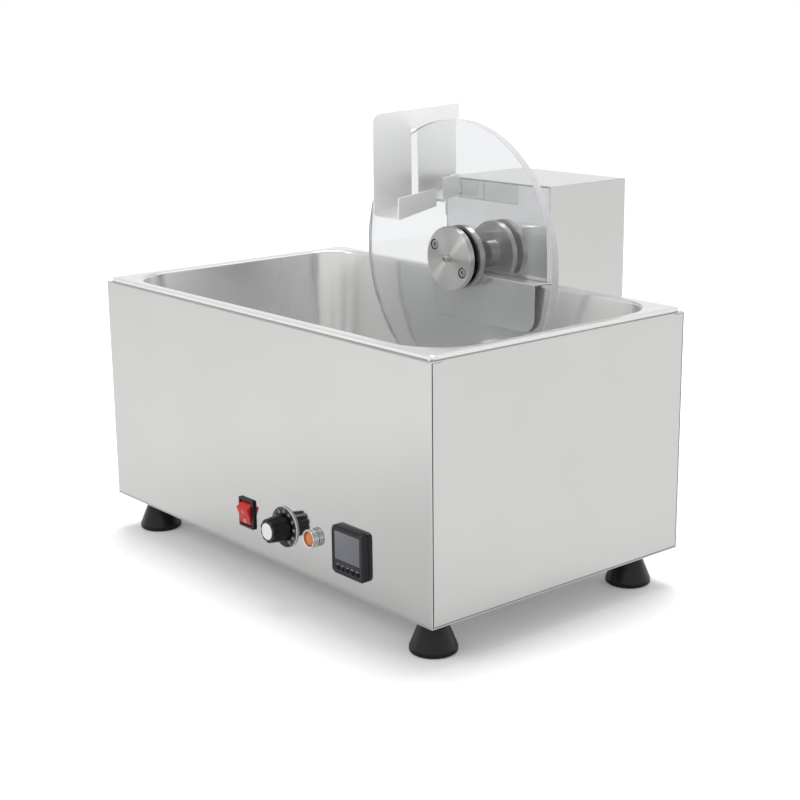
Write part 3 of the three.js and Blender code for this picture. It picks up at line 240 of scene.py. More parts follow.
def moulded(name, colour, roughness, grain, depth, haze, edge_paleness, coat=0.0, gloss=0.5, clear=0.0):
    """Moulded plastic, rubber or paint: fine texture, faint handling marks and paler raised edges."""
    finish = Finish(name)
    fine = finish.noise(grain, detail=2)
    mark = finish.noise(55, detail=4, roughness=0.6)
    # Raised edges, found by pointiness, are paler by the factor given after the haze
    edge = finish.between(finish.add("ShaderNodeNewGeometry").outputs["Pointiness"], 0, 1, 0.52, 0.62)
    base = finish.blend(finish.between(mark, 0, 1), shade(colour, 0.88), shade(colour, 1.1))
    finish.set(
        Base_Color=finish.blend(edge, base, shade(colour, edge_paleness)),
        Roughness=finish.sum(finish.around(fine, roughness, 0.9, 1.1), finish.between(mark, 0, haze)),
        Coat_Weight=coat,
        Specular_IOR_Level=gloss,
        Transmission_Weight=clear,
    )
    finish.relief((fine, depth))
    return finish.material


def clear_sheet(name, colour, roughness, scratch):
    """Clear acrylic: faint scratches and finger haze on the surface."""
    finish = Finish(name)
    fine = finish.noise((320, 60, 320))
    haze = finish.noise(14, detail=4)
    finish.set(
        Base_Color=(*colour, 1),
        IOR=1.49,
        Transmission_Weight=1.0,
        Roughness=finish.sum(
            finish.between(haze, roughness, roughness + 0.015), finish.between(fine, 0, roughness / 4)
        ),
    )
    finish.relief((fine, scratch))
    return finish.material


WHEEL_MIDDLE = (-0.015, 0.0816, 0.3085)
KNOB_FACE = (0.053, -0.2309, 0.0807)

# Each row: colour, roughness, waves of grain per metre, their depth, haze, depth of long waves, metal share
SHEETS = {
    "polished_steel": ((0.595, 0.595, 0.588), 0.06, (900, 900, 12), 1e-7, 0.02, 2e-5, 1.0),
    "satin_steel": ((0.55, 0.55, 0.545), 0.34, (15, 1400, 1400), 6e-7, 0.06, 0.0, 1.0),
    "pan_steel": ((0.82, 0.82, 0.812), 0.22, (60, 60, 6), 2e-8, 0.01, 1e-5, 0.78),
    "scraper_steel": ((0.96, 0.96, 0.953), 0.32, (1100, 1100, 20), 1e-7, 0.02, 1e-5, 0.75),
    "lamp_chrome": ((0.70, 0.70, 0.69), 0.04, (300, 2500, 300), 1e-7, 0.02, 0.0, 1.0),
    "hook_steel": ((0.94, 0.94, 0.933), 0.14, (900, 12, 900), 5e-8, 0.03, 1e-5, 0.5),
    "mirror_steel": ((0.77, 0.77, 0.763), 0.02, (900, 12, 900), 5e-8, 0.015, 1e-5, 0.8),
}
# Each row: colour, roughness, middle of the rings, anisotropy, depth of the grooves
TURNED = {
    "turned_steel": ((0.60, 0.60, 0.59), 0.36, WHEEL_MIDDLE, 0.95, 5e-8),
    "silver_cap": ((0.84, 0.84, 0.84), 0.3, KNOB_FACE, 0.4, 3e-7),
}
# Each row: colour, roughness, waves of grain per metre, their depth
CASTINGS = {
    "zinc_steel": ((0.42, 0.43, 0.44), 0.42, 700, 6e-6),
    "gear_steel": ((0.36, 0.36, 0.35), 0.34, 900, 3e-6),
    "gearbox_metal": ((0.36, 0.37, 0.38), 0.52, 500, 2e-5),
    "motor_metal": ((0.09, 0.095, 0.1), 0.5, 600, 1e-5),
    "bronze": ((0.45, 0.27, 0.09), 0.4, 700, 6e-6),
    # The dark finish below is painted shade for the faces in the hub screws' pockets
    "pocket_shade": ((0.03, 0.03, 0.03), 0.5, 700, 6e-6),
}
# Each row: colour, roughness, waves of grain per metre, their depth, haze, paleness of edges,
# and where they aren't plain: clear coat, gloss, clearness
PLASTICS = {
    "amber_lens": ((0.72, 0.19, 0.015), 0.16, 900, 3e-6, 0.04, 1.3, 0.5),
    "red_plastic": ((0.60, 0.012, 0.014), 0.2, 1500, 2e-6, 0.06, 1.5),
    "black_plastic": ((0.006, 0.006, 0.007), 0.1, 1600, 1e-6, 0.05, 2.0, 0.0, 0.35),
    "dial_black": ((0.009, 0.009, 0.01), 0.3, 2400, 2e-6, 0.05, 1.5, 0.0, 0.3),
    "controller_plastic": ((0.008, 0.009, 0.011), 0.2, 2600, 2e-6, 0.05, 3.2, 0.0, 0.35),
    "grey_window": ((0.135, 0.14, 0.162), 0.1, 300, 4e-7, 0.05, 1.2, 0.3),
    "key_rubber": ((0.006, 0.006, 0.007), 0.4, 2200, 5e-6, 0.08, 2.2, 0.0, 0.25),
    "foot_rubber": ((0.008, 0.008, 0.008), 0.24, 700, 3e-6, 0.08, 1.8, 0.0, 0.35),
    "seal_rubber": ((0.008, 0.008, 0.008), 0.55, 1500, 5e-6, 0.08, 1.2),
    "silicone_mat": ((0.50, 0.10, 0.03), 0.55, 500, 3e-5, 0.1, 1.2),
    "mineral_wool": ((0.66, 0.60, 0.44), 0.95, 260, 4e-4, 0.02, 1.1),
    "circuit_board": ((0.02, 0.12, 0.045), 0.45, 900, 2e-5, 0.08, 1.6),
    "edge_acrylic": ((0.93, 0.93, 0.97), 0.9, 1500, 2e-6, 0.05, 1.03, 0.0, 0.5, 0.4),
    "mark_paint": ((0.82, 0.82, 0.80), 0.5, 2500, 2e-6, 0.05, 1.0),
    "ring_paint": ((0.74, 0.74, 0.74), 0.42, 2500, 2e-6, 0.05, 1.0),
}
finishes = {"clear_acrylic": clear_sheet("clear_acrylic", (0.87, 0.88, 0.89), 0.012, 2e-7)}
kinds = ((sheet_steel, SHEETS), (turned_steel, TURNED), (cast_metal, CASTINGS), (moulded, PLASTICS))
for make, rows in kinds:
    finishes.update({name: make(name, *row) for name, row in rows.items()})

for node_name, slot_name in slot_of.items():
    for material_slot in nodes[node_name].material_slots:
        material_slot.material = finishes[slot_name]


# Shapes, in millimetres until they become a piece

def eased(points, closed=False, degrees=14):
    """Outline of two-number points, rounded where a point carries a third number, its corner radius."""
    out = []
    count = len(points)
    for i, point in enumerate(points):
        here = Vector(point[:2])
        radius = point[2] if len(point) > 2 else 0
        if not radius or (not closed and i in (0, count - 1)):
            out.append(tuple(here))
            continue
        to_last = Vector(points[i - 1][:2]) - here
        to_next = Vector(points[(i + 1) % count][:2]) - here
        inside = to_last.angle(to_next)
        reach = min(radius / math.tan(inside / 2), 0.499 * to_last.length, 0.499 * to_next.length)
        radius = reach * math.tan(inside / 2)
        start = here + to_last.normalized() * reach
        middle_way = (to_last.normalized() + to_next.normalized()).normalized()
        middle = here + middle_way * (radius / math.sin(inside / 2))
        end = here + to_next.normalized() * reach
        steps = max(2, math.ceil(math.degrees(math.pi - inside) / degrees))
        first = start - middle
        turn = first.angle_signed(end - middle)
        for step in range(steps + 1):
            angle = -turn * step / steps
            cos, sin = math.cos(angle), math.sin(angle)
            out.append((middle.x + first.x * cos - first.y * sin, middle.y + first.x * sin + first.y * cos))
    return out


def round_ring(half_x, half_y, radius, height, steps=8, x=0, y=0):
    """Ring of points along a rectangle with round corners."""
    points = []
    for quarter, (sign_x, sign_y) in enumerate(((1, 1), (-1, 1), (-1, -1), (1, -1))):
        for step in range(steps + 1):
            angle = (quarter + step / steps) * math.pi / 2
            points.append((
                sign_x * (half_x - radius) + radius * math.cos(angle) + x,
                sign_y * (half_y - radius) + radius * math.sin(angle) + y,
                height,
            ))
    return points


def skinned(rings, loop=False, cap_first=True, cap_last=True):
    """Mesh over rings of equally many points. A ring of one point closes to a tip."""
    shape = bmesh.new()
    made = [[shape.verts.new(point) for point in ring] for ring in rings]
    pairs = list(zip(made, made[1:] + made[:1] if loop else made[1:]))
    for near, far in pairs:
        count = max(len(near), len(far))
        for i in range(count):
            j = (i + 1) % count
            corners = []
            for corner in (near[i % len(near)], near[j % len(near)], far[j % len(far)], far[i % len(far)]):
                if corner not in corners:
                    corners.append(corner)
            shape.faces.new(corners)
    if not loop:
        if cap_first and len(made[0]) > 1:
            shape.faces.new(made[0][::-1])
        if cap_last and len(made[-1]) > 1:
            shape.faces.new(made[-1])
    return shape


def circle_ring(radius, height, sides=48):
    """Ring of points along a circle."""
    return [
        (radius * math.cos(2 * math.pi * i / sides), radius * math.sin(2 * math.pi * i / sides), height)
        for i in range(sides)
    ]


def turned_shape(profile, sides=64):
    """Mesh of a profile of radius and height turned about Z, a ring where it starts off the axis."""
    rings = [
        [(0, 0, height)] if radius < ON_AXIS else circle_ring(radius, height, sides)
        for radius, height in profile
    ]
    return skinned(rings, loop=profile[0][0] > ON_AXIS)


def joined(*shapes):
    """One mesh of several shapes."""
    whole = bmesh.new()
    for shape in shapes:
        part = bpy.data.meshes.new("part")
        shape.to_mesh(part)
        shape.free()
        whole.from_mesh(part)
        bpy.data.meshes.remove(part)
    return whole


def moved(shape, matrix):
    shape.transform(matrix)
    return shape


def set_up(name, data):
    """New object in the scene."""
    thing = bpy.data.objects.new(name, data)
    bpy.context.scene.collection.objects.link(thing)
    return thing


def smoothed(shape, crease_degrees=30):
    """Shades the shape smoothly between its creases."""
    for face in shape.faces:
        face.smooth = True
    for edge in shape.edges:
        edge.smooth = edge.calc_face_angle(0) < math.radians(crease_degrees)


def piece_of(name, shape, place=None, scale=MM, crease_degrees=30):
    """Object of a mesh, with smooth shading between creases."""
    if place:
        shape.transform(place)
    if scale != 1:
        shape.transform(Matrix.Scale(scale, 4))
    bmesh.ops.remove_doubles(shape, verts=shape.verts, dist=MERGED)
    bmesh.ops.recalc_face_normals(shape, faces=shape.faces)
    smoothed(shape, crease_degrees)
    mesh = bpy.data.meshes.new(name)
    shape.to_mesh(mesh)
    shape.free()
    return set_up(name, mesh)


def plain_mesh(piece):
    """Turns a piece with live modifiers into a plain mesh."""
    graph = bpy.context.evaluated_depsgraph_get()
    mesh = bpy.data.meshes.new_from_object(piece.evaluated_get(graph))
    old = piece.data
    piece.modifiers.clear()
    piece.data = mesh
    if isinstance(old, bpy.types.Mesh):
        bpy.data.meshes.remove(old)
    mesh.name = piece.name
    return piece


def bored(piece, *shapes):
    """Piece with other shapes, in millimetres, cut out of it."""
    for shape in shapes:
        cutter = piece_of("cutter", shape)
        cut = piece.modifiers.new("bore", "BOOLEAN")
        cut.operation = "DIFFERENCE"
        cut.solver = "EXACT"
        cut.object = cutter
        plain_mesh(piece)
        bpy.data.objects.remove(cutter)
    refined = bmesh.new()
    refined.from_mesh(piece.data)
    bmesh.ops.remove_doubles(refined, verts=refined.verts, dist=MERGED)
    smoothed(refined)
    refined.to_mesh(piece.data)
    refined.free()
    return piece


def whole_shape(node):
    """Mesh of a CAD node with its loose triangles joined up and its flat faces whole."""
    source = nodes[node].data
    shape = bmesh.new()
    corners = [shape.verts.new(vertex.co) for vertex in source.vertices]
    for polygon in source.polygons:
        shape.faces.new([corners[i] for i in polygon.vertices])
    bmesh.ops.remove_doubles(shape, verts=shape.verts, dist=CAD_MERGED)
    bmesh.ops.dissolve_limit(shape, angle_limit=math.radians(1), verts=shape.verts, edges=shape.edges)
    return shape


def folded(node, name, bend, edge_share=0.3, is_bend=None, segments=4, trim=None, is_sharp=None):
    """Sheet piece from a CAD node: its bends are round and its cut edges are lightly broken."""
    shape = whole_shape(node)
    for vertex in shape.verts if trim else ():
        vertex.co += trim(vertex.co / MM) * MM
    weight = shape.edges.layers.float.new("bevel_weight_edge")
    for edge in shape.edges:
        if edge.calc_face_angle(0) > FOLD:
            middle = (edge.verts[0].co + edge.verts[1].co) / (2 * MM)
            along = edge.verts[1].co - edge.verts[0].co
            edge[weight] = 1 if is_bend and is_bend(middle, along.normalized()) else edge_share
            if is_sharp and is_sharp(middle):
                edge[weight] = LEAST_BEVEL
    piece = piece_of(name, shape, scale=1, crease_degrees=180)
    bevel = piece.modifiers.new("bends", "BEVEL")
    bevel.limit_method = "WEIGHT"
    bevel.width = bend * MM
    bevel.segments = segments
    bevel.harden_normals = True
    return piece


def stand_for(piece, *names, finish=None):
    """Gives a piece its finish and lets it stand for CAD nodes, on their body."""
    slot_name = slot_of[names[0]]
    if not piece.data.materials:
        piece.data.materials.append(finishes[finish or slot_name])
    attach(piece, nodes[names[0]]["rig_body"])
    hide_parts(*names)
    return piece


def go_with(piece, body):
    """Lets painted marks ride on a body. They stand for no CAD node."""
    if not piece.data.materials:
        piece.data.materials.append(finishes["mark_paint"])
    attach(piece, body)


def span(node):
    """Lowest and highest corner of a node and its middle, in millimetres."""
    low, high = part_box(node)
    return low / MM, high / MM, (low + high) / (2 * MM)


TO_FRONT = Matrix.Rotation(math.pi / 2, 4, "X")
front_face = span("front_panel")[0].y


def on_panel(node):
    """Place on the front panel at the middle of a node, with local Z straight out of it."""
    middle = span(node)[2]
    return Matrix.Translation((middle.x, front_face, middle.z)) @ TO_FRONT


def near(value, target, slack=0.05):
    """Whether two millimetre values agree."""
    return abs(value - target) < slack


# Housing

def housing_panels():
    """Four side sheets with round bends, and the base tray."""
    low, high, _ = span("front_panel")
    top = high.z
    bend, cut_edge = 1.15, 0.2

    def lap(spot):
        """Edges at the underside of the folded lip."""
        return top - 1.7 < spot.z < top - 1

    for side, outer in (("front", low.y), ("rear", span("rear_panel")[1].y)):
        def is_bend(spot, along, outer=outer):
            return near(spot.y, outer) and (near(spot.z, top) or near(abs(spot.x), high.x))

        sheet = folded(side + "_panel", side + "_sheet", bend, cut_edge, is_bend, is_sharp=lap)
        stand_for(sheet, side + "_panel")
    for side in ("left", "right"):
        side_low, side_high, _ = span(side + "_side_panel")
        outer = side_low.x if side == "left" else side_high.x

        def is_side_bend(spot, along, outer=outer):
            return near(spot.x, outer) and abs(along.x) < 0.1

        def seam(spot, low=side_low):
            """Draws the sheet back from the front corner's seam, which shows as a dark line."""
            return Vector((0, 0.9 * near(spot.y, low.y), 0))

        sheet = folded(
            side + "_side_panel", side + "_sheet", 0.7, cut_edge, is_side_bend, trim=seam, is_sharp=lap
        )
        stand_for(sheet, side + "_side_panel")
    stand_for(folded("base_plate", "base_tray", 0.45, 1.0, segments=3), "base_plate")


def foot(node, name):
    """Rubber cone about a screw, hollow for the screw's head."""
    _, high, middle = span(node)
    pocket, bore, shelf, rim = 8.5, 3.3, 18, 23
    profile = eased([
        (bore, shelf), (pocket, shelf, 1), (pocket, 0, 0.6), (21, 0, 1.2), (rim, 1.4, 1.4), (rim, 5.4, 2.4),
        (9.5, high.z, 0.8), (bore, high.z),
    ], closed=True)
    piece = piece_of(name, turned_shape(profile, 72), Matrix.Translation((middle.x, middle.y, 0)))
    return stand_for(piece, node)


def rounded_ring(out, height, rule):
    """Ring of the rule's half sizes and corner, set out by some millimetres."""
    half_x, half_y, corner, steps = rule
    return round_ring(half_x + out, half_y + out, corner + out, height, steps)


def pan_shell():
    """Tub with tapered walls, a deep round bottom edge and a rolled rim."""
    low, high, middle = span("pan")
    steps = 14
    sheet = 1.0
    taper = 5.5
    half_width = (high.y - low.y) / 2
    opening = (high.x - 12, half_width - 12.5, 52, steps)
    rim = (high.x, half_width, 6, steps)
    fillet = 25
    roll = 3
    wall_top = high.z - roll
    fillet_middle = low.z + sheet + fillet
    wall_in = (wall_top - fillet_middle) * math.tan(math.radians(taper))

    def arc(middle_out, middle_z, radius, start, end, count):
        angles = [math.radians(start + (end - start) * i / count) for i in range(count + 1)]
        return [(middle_out + radius * math.cos(a), middle_z + radius * math.sin(a)) for a in angles]

    inside = arc(-wall_in - fillet, fillet_middle, fillet, -90, -taper, 10)
    inside += arc(roll, wall_top, roll, 180, 90, 6)
    outside = arc(roll, wall_top, roll - sheet, 90, 180, 5)
    outside += arc(-wall_in - fillet, fillet_middle, fillet + sheet, -taper, -90, 10)
    edge = [
        (1.3, high.z), (0.75, high.z - 0.12), (0.25, high.z - 0.5), (0, high.z - 1.2), (0, high.z - 4.1),
        (0.15, high.z - 4.4), (0.85, high.z - 4.4), (1, high.z - 4.1), (1, high.z - 1.3), (1.4, high.z - 1),
    ]
    rings = [rounded_ring(out, z, opening) for out, z in inside]
    rings += [rounded_ring(-inset, z, rim) for inset, z in edge]
    rings += [rounded_ring(out, z, opening) for out, z in outside]
    return stand_for(piece_of("pan_tub", skinned(rings), Matrix.Translation((0, middle.y, 0))), "pan")


def hexagon_ring(radius, height, sides=48):
    """Ring of points along a hexagon that is radius across its flats."""
    points = []
    for i in range(sides):
        angle = 2 * math.pi * i / sides
        reach = radius / math.cos((angle + math.pi / 6) % (math.pi / 3) - math.pi / 6)
        points.append((reach * math.cos(angle), reach * math.sin(angle), height))
    return points


def cable_gland(node, name, place):
    """Gland with a hexagon against the sheet, a domed nut outside and a lock nut inside."""
    flats, lead, thread, gap = 9.5, 4.5, 8.05, 0.35
    flange = skinned([
        circle_ring(4.6, gap), circle_ring(8, gap), hexagon_ring(flats, gap), hexagon_ring(flats, 4.6),
        circle_ring(9.4, 5.3), circle_ring(4.6, 5.3),
    ], loop=True)
    nut = turned_shape(eased([
        (lead, 5.35), (8.2, 5.35, 0.3), (8, 12.5, 2.5), (6.2, 17, 1), (lead, 17),
    ], closed=True), 48)
    neck = turned_shape([(lead, -8.5), (8, -8.5), (8, 0.3), (lead, 0.3)], 48)
    lock = skinned([
        circle_ring(thread, -8), hexagon_ring(flats, -8), hexagon_ring(flats, -2.6),
        circle_ring(thread, -2.6),
    ], loop=True)
    return stand_for(piece_of(name, joined(flange, nut, neck, lock), place), node)


def housing():
    housing_panels()
    for place in ("front_left", "front_right", "rear_left", "rear_right"):
        foot("foot_" + place, "rubber_foot_" + place)
    pan_shell()
    rear = span("rear_panel")[1].y
    for node in ("mains_gland", "drive_lead_gland"):
        middle = span(node)[2]
        place = Matrix.Translation((middle.x, rear, middle.z)) @ Matrix.Rotation(-math.pi / 2, 4, "X")
        cable_gland(node, node.replace("gland", "inlet_gland"), place)
    middle = span("drive_unit_gland")[2]
    bottom = span("drive_floor")[0].z
    under = Matrix.Translation((middle.x, middle.y, bottom)) @ Matrix.Rotation(math.pi, 4, "X")
    cable_gland("drive_unit_gland", "drive_unit_inlet_gland", under)


# Geometry Nodes

def node_tree(name, **inputs):
    """Geometry Nodes tree with named inputs, and its input sockets."""
    tree = bpy.data.node_groups.new(name, "GeometryNodeTree")
    tree.interface.new_socket("Geometry", in_out="OUTPUT", socket_type="NodeSocketGeometry")
    tree.interface.new_socket("Geometry", in_out="INPUT", socket_type="NodeSocketGeometry")
    for label, kind in {**inputs, "Material": "Material"}.items():
        tree.interface.new_socket(label.replace("_", " "), in_out="INPUT", socket_type="NodeSocket" + kind)
    return tree, tree.nodes.new("NodeGroupInput").outputs


def tree_math(tree, operation, *values):
    """Math on sockets or plain numbers."""
    return add_node(tree, "ShaderNodeMath", dict(enumerate(values)), operation=operation).outputs[0]


def finish_tree(tree, geometry, material):
    """Ends a tree with real geometry and its material."""
    real = add_node(tree, "GeometryNodeRealizeInstances", {0: geometry})
    painted = add_node(tree, "GeometryNodeSetMaterial", {"Geometry": real.outputs[0], "Material": material})
    add_node(tree, "NodeGroupOutput", {0: painted.outputs[0]})


def grown(name, tree, values, base=None):
    """Piece made by a tree from its named values, as a plain mesh in metres."""
    piece = base or piece_of(name, bmesh.new())
    made = piece.modifiers.new("nodes", "NODES")
    made.node_group = tree
    for item in tree.interface.items_tree:
        if item.item_type == "SOCKET" and item.in_out == "INPUT" and item.name in values:
            made[item.identifier] = values[item.name]
    return plain_mesh(piece)


def fluting_tree():
    """Draws flutes into a round body about Z."""
    tree, given = node_tree("fluting", Flutes="Float", Depth="Float", Plain_Radius="Float")
    spot = add_node(tree, "GeometryNodeInputPosition").outputs[0]
    x, y, _ = add_node(tree, "ShaderNodeSeparateXYZ", {0: spot}).outputs
    angle = tree_math(tree, "ARCTAN2", y, x)
    wave = tree_math(tree, "COSINE", tree_math(tree, "MULTIPLY", angle, given["Flutes"]))
    hollow = add_node(tree, "ShaderNodeMapRange", {
        "Value": wave, "From Min": 0.05, "From Max": 0.75,
    }, interpolation_type="SMOOTHERSTEP").outputs[0]
    squares = tree_math(tree, "ADD", tree_math(tree, "MULTIPLY", x, x), tree_math(tree, "MULTIPLY", y, y))
    radius = tree_math(tree, "SQRT", squares)
    outer = tree_math(tree, "GREATER_THAN", radius, given["Plain Radius"])
    depth = tree_math(tree, "MULTIPLY", tree_math(tree, "MULTIPLY", hollow, outer), given["Depth"])
    share = tree_math(tree, "DIVIDE", depth, tree_math(tree, "MAXIMUM", radius, ON_AXIS))
    inward = add_node(tree, "ShaderNodeCombineXYZ", {
        axis: tree_math(tree, "MULTIPLY", tree_math(tree, "MULTIPLY", part, share), -1.0)
        for axis, part in enumerate((x, y))
    })
    shift = add_node(
        tree, "GeometryNodeSetPosition", {"Geometry": given["Geometry"], "Offset": inward.outputs[0]}
    )
    finish_tree(tree, shift.outputs[0], given["Material"])
    return tree


def lay_marks(tree, given, spot, turn=None):
    """Lays a flat mark at each of the tree's spots, and ends the tree."""
    row = add_node(tree, "GeometryNodeMeshLine", {"Count": given["Marks"]})
    spread = add_node(tree, "GeometryNodeSetPosition", {"Geometry": row.outputs[0], "Position": spot})
    size = add_node(tree, "ShaderNodeCombineXYZ", {
        axis: given[label] for axis, label in enumerate(("Length", "Width", "Height"))
    })
    mark = add_node(tree, "GeometryNodeMeshCube", {"Size": size.outputs[0]})
    laid = add_node(
        tree, "GeometryNodeInstanceOnPoints", {"Points": spread.outputs[0], "Instance": mark.outputs[0]}
    )
    if turn is not None:
        lean = add_node(tree, "ShaderNodeCombineXYZ", {2: turn})
        feed(tree, laid.inputs["Rotation"], lean.outputs[0])
    finish_tree(tree, laid.outputs[0], given["Material"])
    return tree


def dial_marks_tree():
    """Flat marks at even steps along an arc about Z."""
    tree, given = node_tree(
        "dial_marks", Marks="Int", Radius="Float", Start="Float", Sweep="Float",
        Length="Float", Width="Float", Height="Float",
    )
    index = add_node(tree, "GeometryNodeInputIndex").outputs[0]
    steps = tree_math(tree, "SUBTRACT", given["Marks"], 1.0)
    turn = tree_math(tree, "MULTIPLY", tree_math(tree, "DIVIDE", index, steps), given["Sweep"])
    angle = tree_math(tree, "ADD", turn, given["Start"])
    spot = add_node(tree, "ShaderNodeCombineXYZ", {
        axis: tree_math(tree, "MULTIPLY", tree_math(tree, way, angle), given["Radius"])
        for axis, way in enumerate(("COSINE", "SINE"))
    })
    return lay_marks(tree, given, spot.outputs[0], angle)


def mark_row_tree():
    """Flat marks at even steps along a straight row, about the middle of the row."""
    tree, given = node_tree(
        "mark_row", Marks="Int", Pitch="Float", Length="Float", Width="Float", Height="Float"
    )
    index = add_node(tree, "GeometryNodeInputIndex").outputs[0]
    half = tree_math(tree, "DIVIDE", tree_math(tree, "SUBTRACT", given["Marks"], 1.0), 2.0)
    along = tree_math(tree, "MULTIPLY", tree_math(tree, "SUBTRACT", index, half), given["Pitch"])
    return lay_marks(tree, given, add_node(tree, "ShaderNodeCombineXYZ", {0: along}).outputs[0])


def placed(piece, place):
    """Puts a finished mesh, made in metres about the origin, in its place given in millimetres."""
    metric = place.copy()
    metric.translation = place.translation * MM
    piece.data.transform(metric)
    piece.data.update()
    return piece


# Controls on the front panel

def ring_mark(radius, width, height):
    """Flat ring about Z."""
    inner = radius - width
    return turned_shape([(inner, 0), (radius, 0), (radius, height), (inner, height)], 40)


def bar_mark(length, width, height):
    """Flat bar along Y with round corners."""
    return skinned([round_ring(width / 2, length / 2, width / 2.5, z, 3) for z in (0, height)])


def rocker_switch():
    """Rocker in its frame, with a ring on its lower half and a bar on its upper half."""
    low, _, _ = span("switch_body")

    def is_rim(spot, along):
        return near(spot.y, low.y, 0.2)

    stand_for(folded("switch_body", "switch_frame", 0.7, 0.25, is_rim), "switch_body")
    stand_for(folded("switch_rocker", "rocker", 0.8, 1.0), "switch_rocker")
    tilt = Matrix.Rotation(math.radians(16), 4, "X")
    pivot = on_panel("switch_body") @ Matrix.Translation((0, 0, -3.3)) @ tilt
    reach, half_angle, dish, proud, thickness = 12.9, math.radians(44), 0.8, 0.02, 0.06
    half_length = reach * math.sin(half_angle)
    slope = math.atan2(dish, half_length)
    face = reach * math.cos(half_angle) - dish

    def on_face(y, lean):
        height = face + abs(y) * math.tan(slope) + proud
        return Matrix.Translation((0, y, height)) @ Matrix.Rotation(lean, 4, "X")

    off = moved(ring_mark(2.1, 0.6, thickness), on_face(-5.6, -slope))
    on = moved(bar_mark(3.6, 0.7, thickness), on_face(4.6, slope))
    go_with(piece_of("rocker_marks", joined(off, on), pivot), "switch_rocker")


def number_shape(words, place):
    """Raised number in millimetres, as a mesh."""
    curve = bpy.data.curves.new("number", "FONT")
    curve.body = words
    curve.size = 3.4
    curve.extrude = 0.02
    curve.resolution_u = 2
    curve.align_x = "CENTER"
    curve.align_y = "CENTER"
    label = set_up("number", curve)
    graph = bpy.context.evaluated_depsgraph_get()
    drawn = bpy.data.meshes.new_from_object(label.evaluated_get(graph))
    drawn.transform(place)
    bpy.data.objects.remove(label)
    bpy.data.curves.remove(curve)
    return drawn


def dial():
    """Fixed disc with a pale rim, marks and the numbers 0 to 100."""
    place = on_panel("dial_plate")
    hole, radius, face_top = 4.8, 21, 1.72
    profile = eased([
        (hole, 0.3), (radius, 0.3, 0.15), (radius, 1.15, 0.1), (20.5, 1.7, 0.3), (hole, face_top),
    ], closed=True)
    plate = piece_of("dial_disc", turned_shape(profile, 96), place)
    plate.data.materials.append(finishes["ring_paint"])
    plate.data.materials.append(finishes["dial_black"])
    centre = place.translation * MM
    for face in plate.data.polygons:
        spot = face.center - centre
        if math.hypot(spot.x, spot.z) < 20.7 * MM and face.normal.y < -0.9:
            face.material_index = 1
    stand_for(plate, "dial_plate")

    start, sweep, last = math.radians(240), math.radians(-300), 10
    tree = dial_marks_tree()
    shared = {"Start": start, "Sweep": sweep, "Height": 0.05 * MM, "Material": finishes["mark_paint"]}
    on_face = place @ Matrix.Translation((0, 0, 1.73))
    for name, values in {
        "dial_long_marks": {"Marks": 11, "Radius": 18.5 * MM, "Length": 2.2 * MM, "Width": 0.5 * MM},
        "dial_short_marks": {"Marks": 51, "Radius": 19.0 * MM, "Length": 1.1 * MM, "Width": 0.28 * MM},
    }.items():
        go_with(placed(grown(name, tree, {**shared, **values}), on_face), "housing")

    numbers = bmesh.new()
    for step in range(last + 1):
        turn = Matrix.Rotation(start + sweep * step / last - math.pi / 2, 4, "Z")
        drawn = number_shape(str(step * 10), turn @ Matrix.Translation((0, 15.9, 1.75)))
        numbers.from_mesh(drawn)
        bpy.data.meshes.remove(drawn)
    go_with(piece_of("dial_numbers", numbers, place), "housing")


def speed_knob():
    """Fluted knob with a pale cap."""
    place = on_panel("speed_knob")
    bottom, top = 2.1, 22.1
    foot_radius, taper, rows = 14, 2, 14
    wall = [
        (foot_radius - taper * i / rows, bottom + 0.9 + (top - 1.9 - bottom) * i / rows)
        for i in range(rows + 1)
    ]
    bore, seat, depth = 3.3, 8.8, 7
    profile = [(bore, bottom), (13.4, bottom), (13.85, bottom + 0.35)] + wall
    profile += [(11.85, top - 0.55), (11.45, top - 0.2), (10.9, top), (9.3, top), (9.0, top - 0.15)]
    profile += [(seat, top - 0.4), (seat, top - 0.9), (0.001, top - 0.9), (0.001, top - depth)]
    profile += [(bore, top - depth)]
    body = piece_of("fluted_knob", turned_shape(profile, 240))
    grown("fluted_knob", fluting_tree(), {
        "Flutes": 10.0, "Depth": 1.25 * MM, "Plain Radius": 10.6 * MM, "Material": finishes["black_plastic"],
    }, body)
    stand_for(placed(body, place), "speed_knob")
    cap = eased([
        (0, top - 0.6), (8.5, top - 0.6), (8.5, top + 0.6, 0.35), (7.9, top + 0.6), (7.7, top + 0.45),
        (0, top + 0.5),
    ])
    stand_for(piece_of("knob_disc", turned_shape(cap, 72), place), "knob_cap")


def pilot_lamp():
    """Chrome ring with a groove, and a domed lens in it."""
    place = on_panel("pilot_lamp_lens")
    chrome = eased([
        (0, -24), (6, -24), (6, 0.3), (9.3, 0.3, 0.2), (9.3, 1.5, 0.3), (8.4, 1.8, 0.2), (8.4, 2.5, 0.2),
        (9.0, 2.8, 0.3), (9.0, 4.6, 0.3), (8.4, 4.9, 0.2), (8.4, 5.4, 0.2), (9.3, 5.7, 0.3), (9.3, 6.7, 0.4),
        (8.7, 7.1, 0.3), (7.5, 6.7, 0.3), (7.3, 3.6), (0, 3.6),
    ])
    stand_for(piece_of("lamp_ring", turned_shape(chrome, 72), place), "pilot_lamp_bezel")
    dome = [(0, 3.9), (7, 3.9), (7, 4.6), (6.5, 5.1), (5.6, 4.7)]
    angles = [math.radians(6 * i) for i in range(1, 15)]
    dome += [(5.4 * math.cos(a), 4.9 + 1.4 * math.sin(a)) for a in angles]
    dome += [(0, 6.3)]
    stand_for(piece_of("lamp_lens", turned_shape(dome, 64), place), "pilot_lamp_lens")


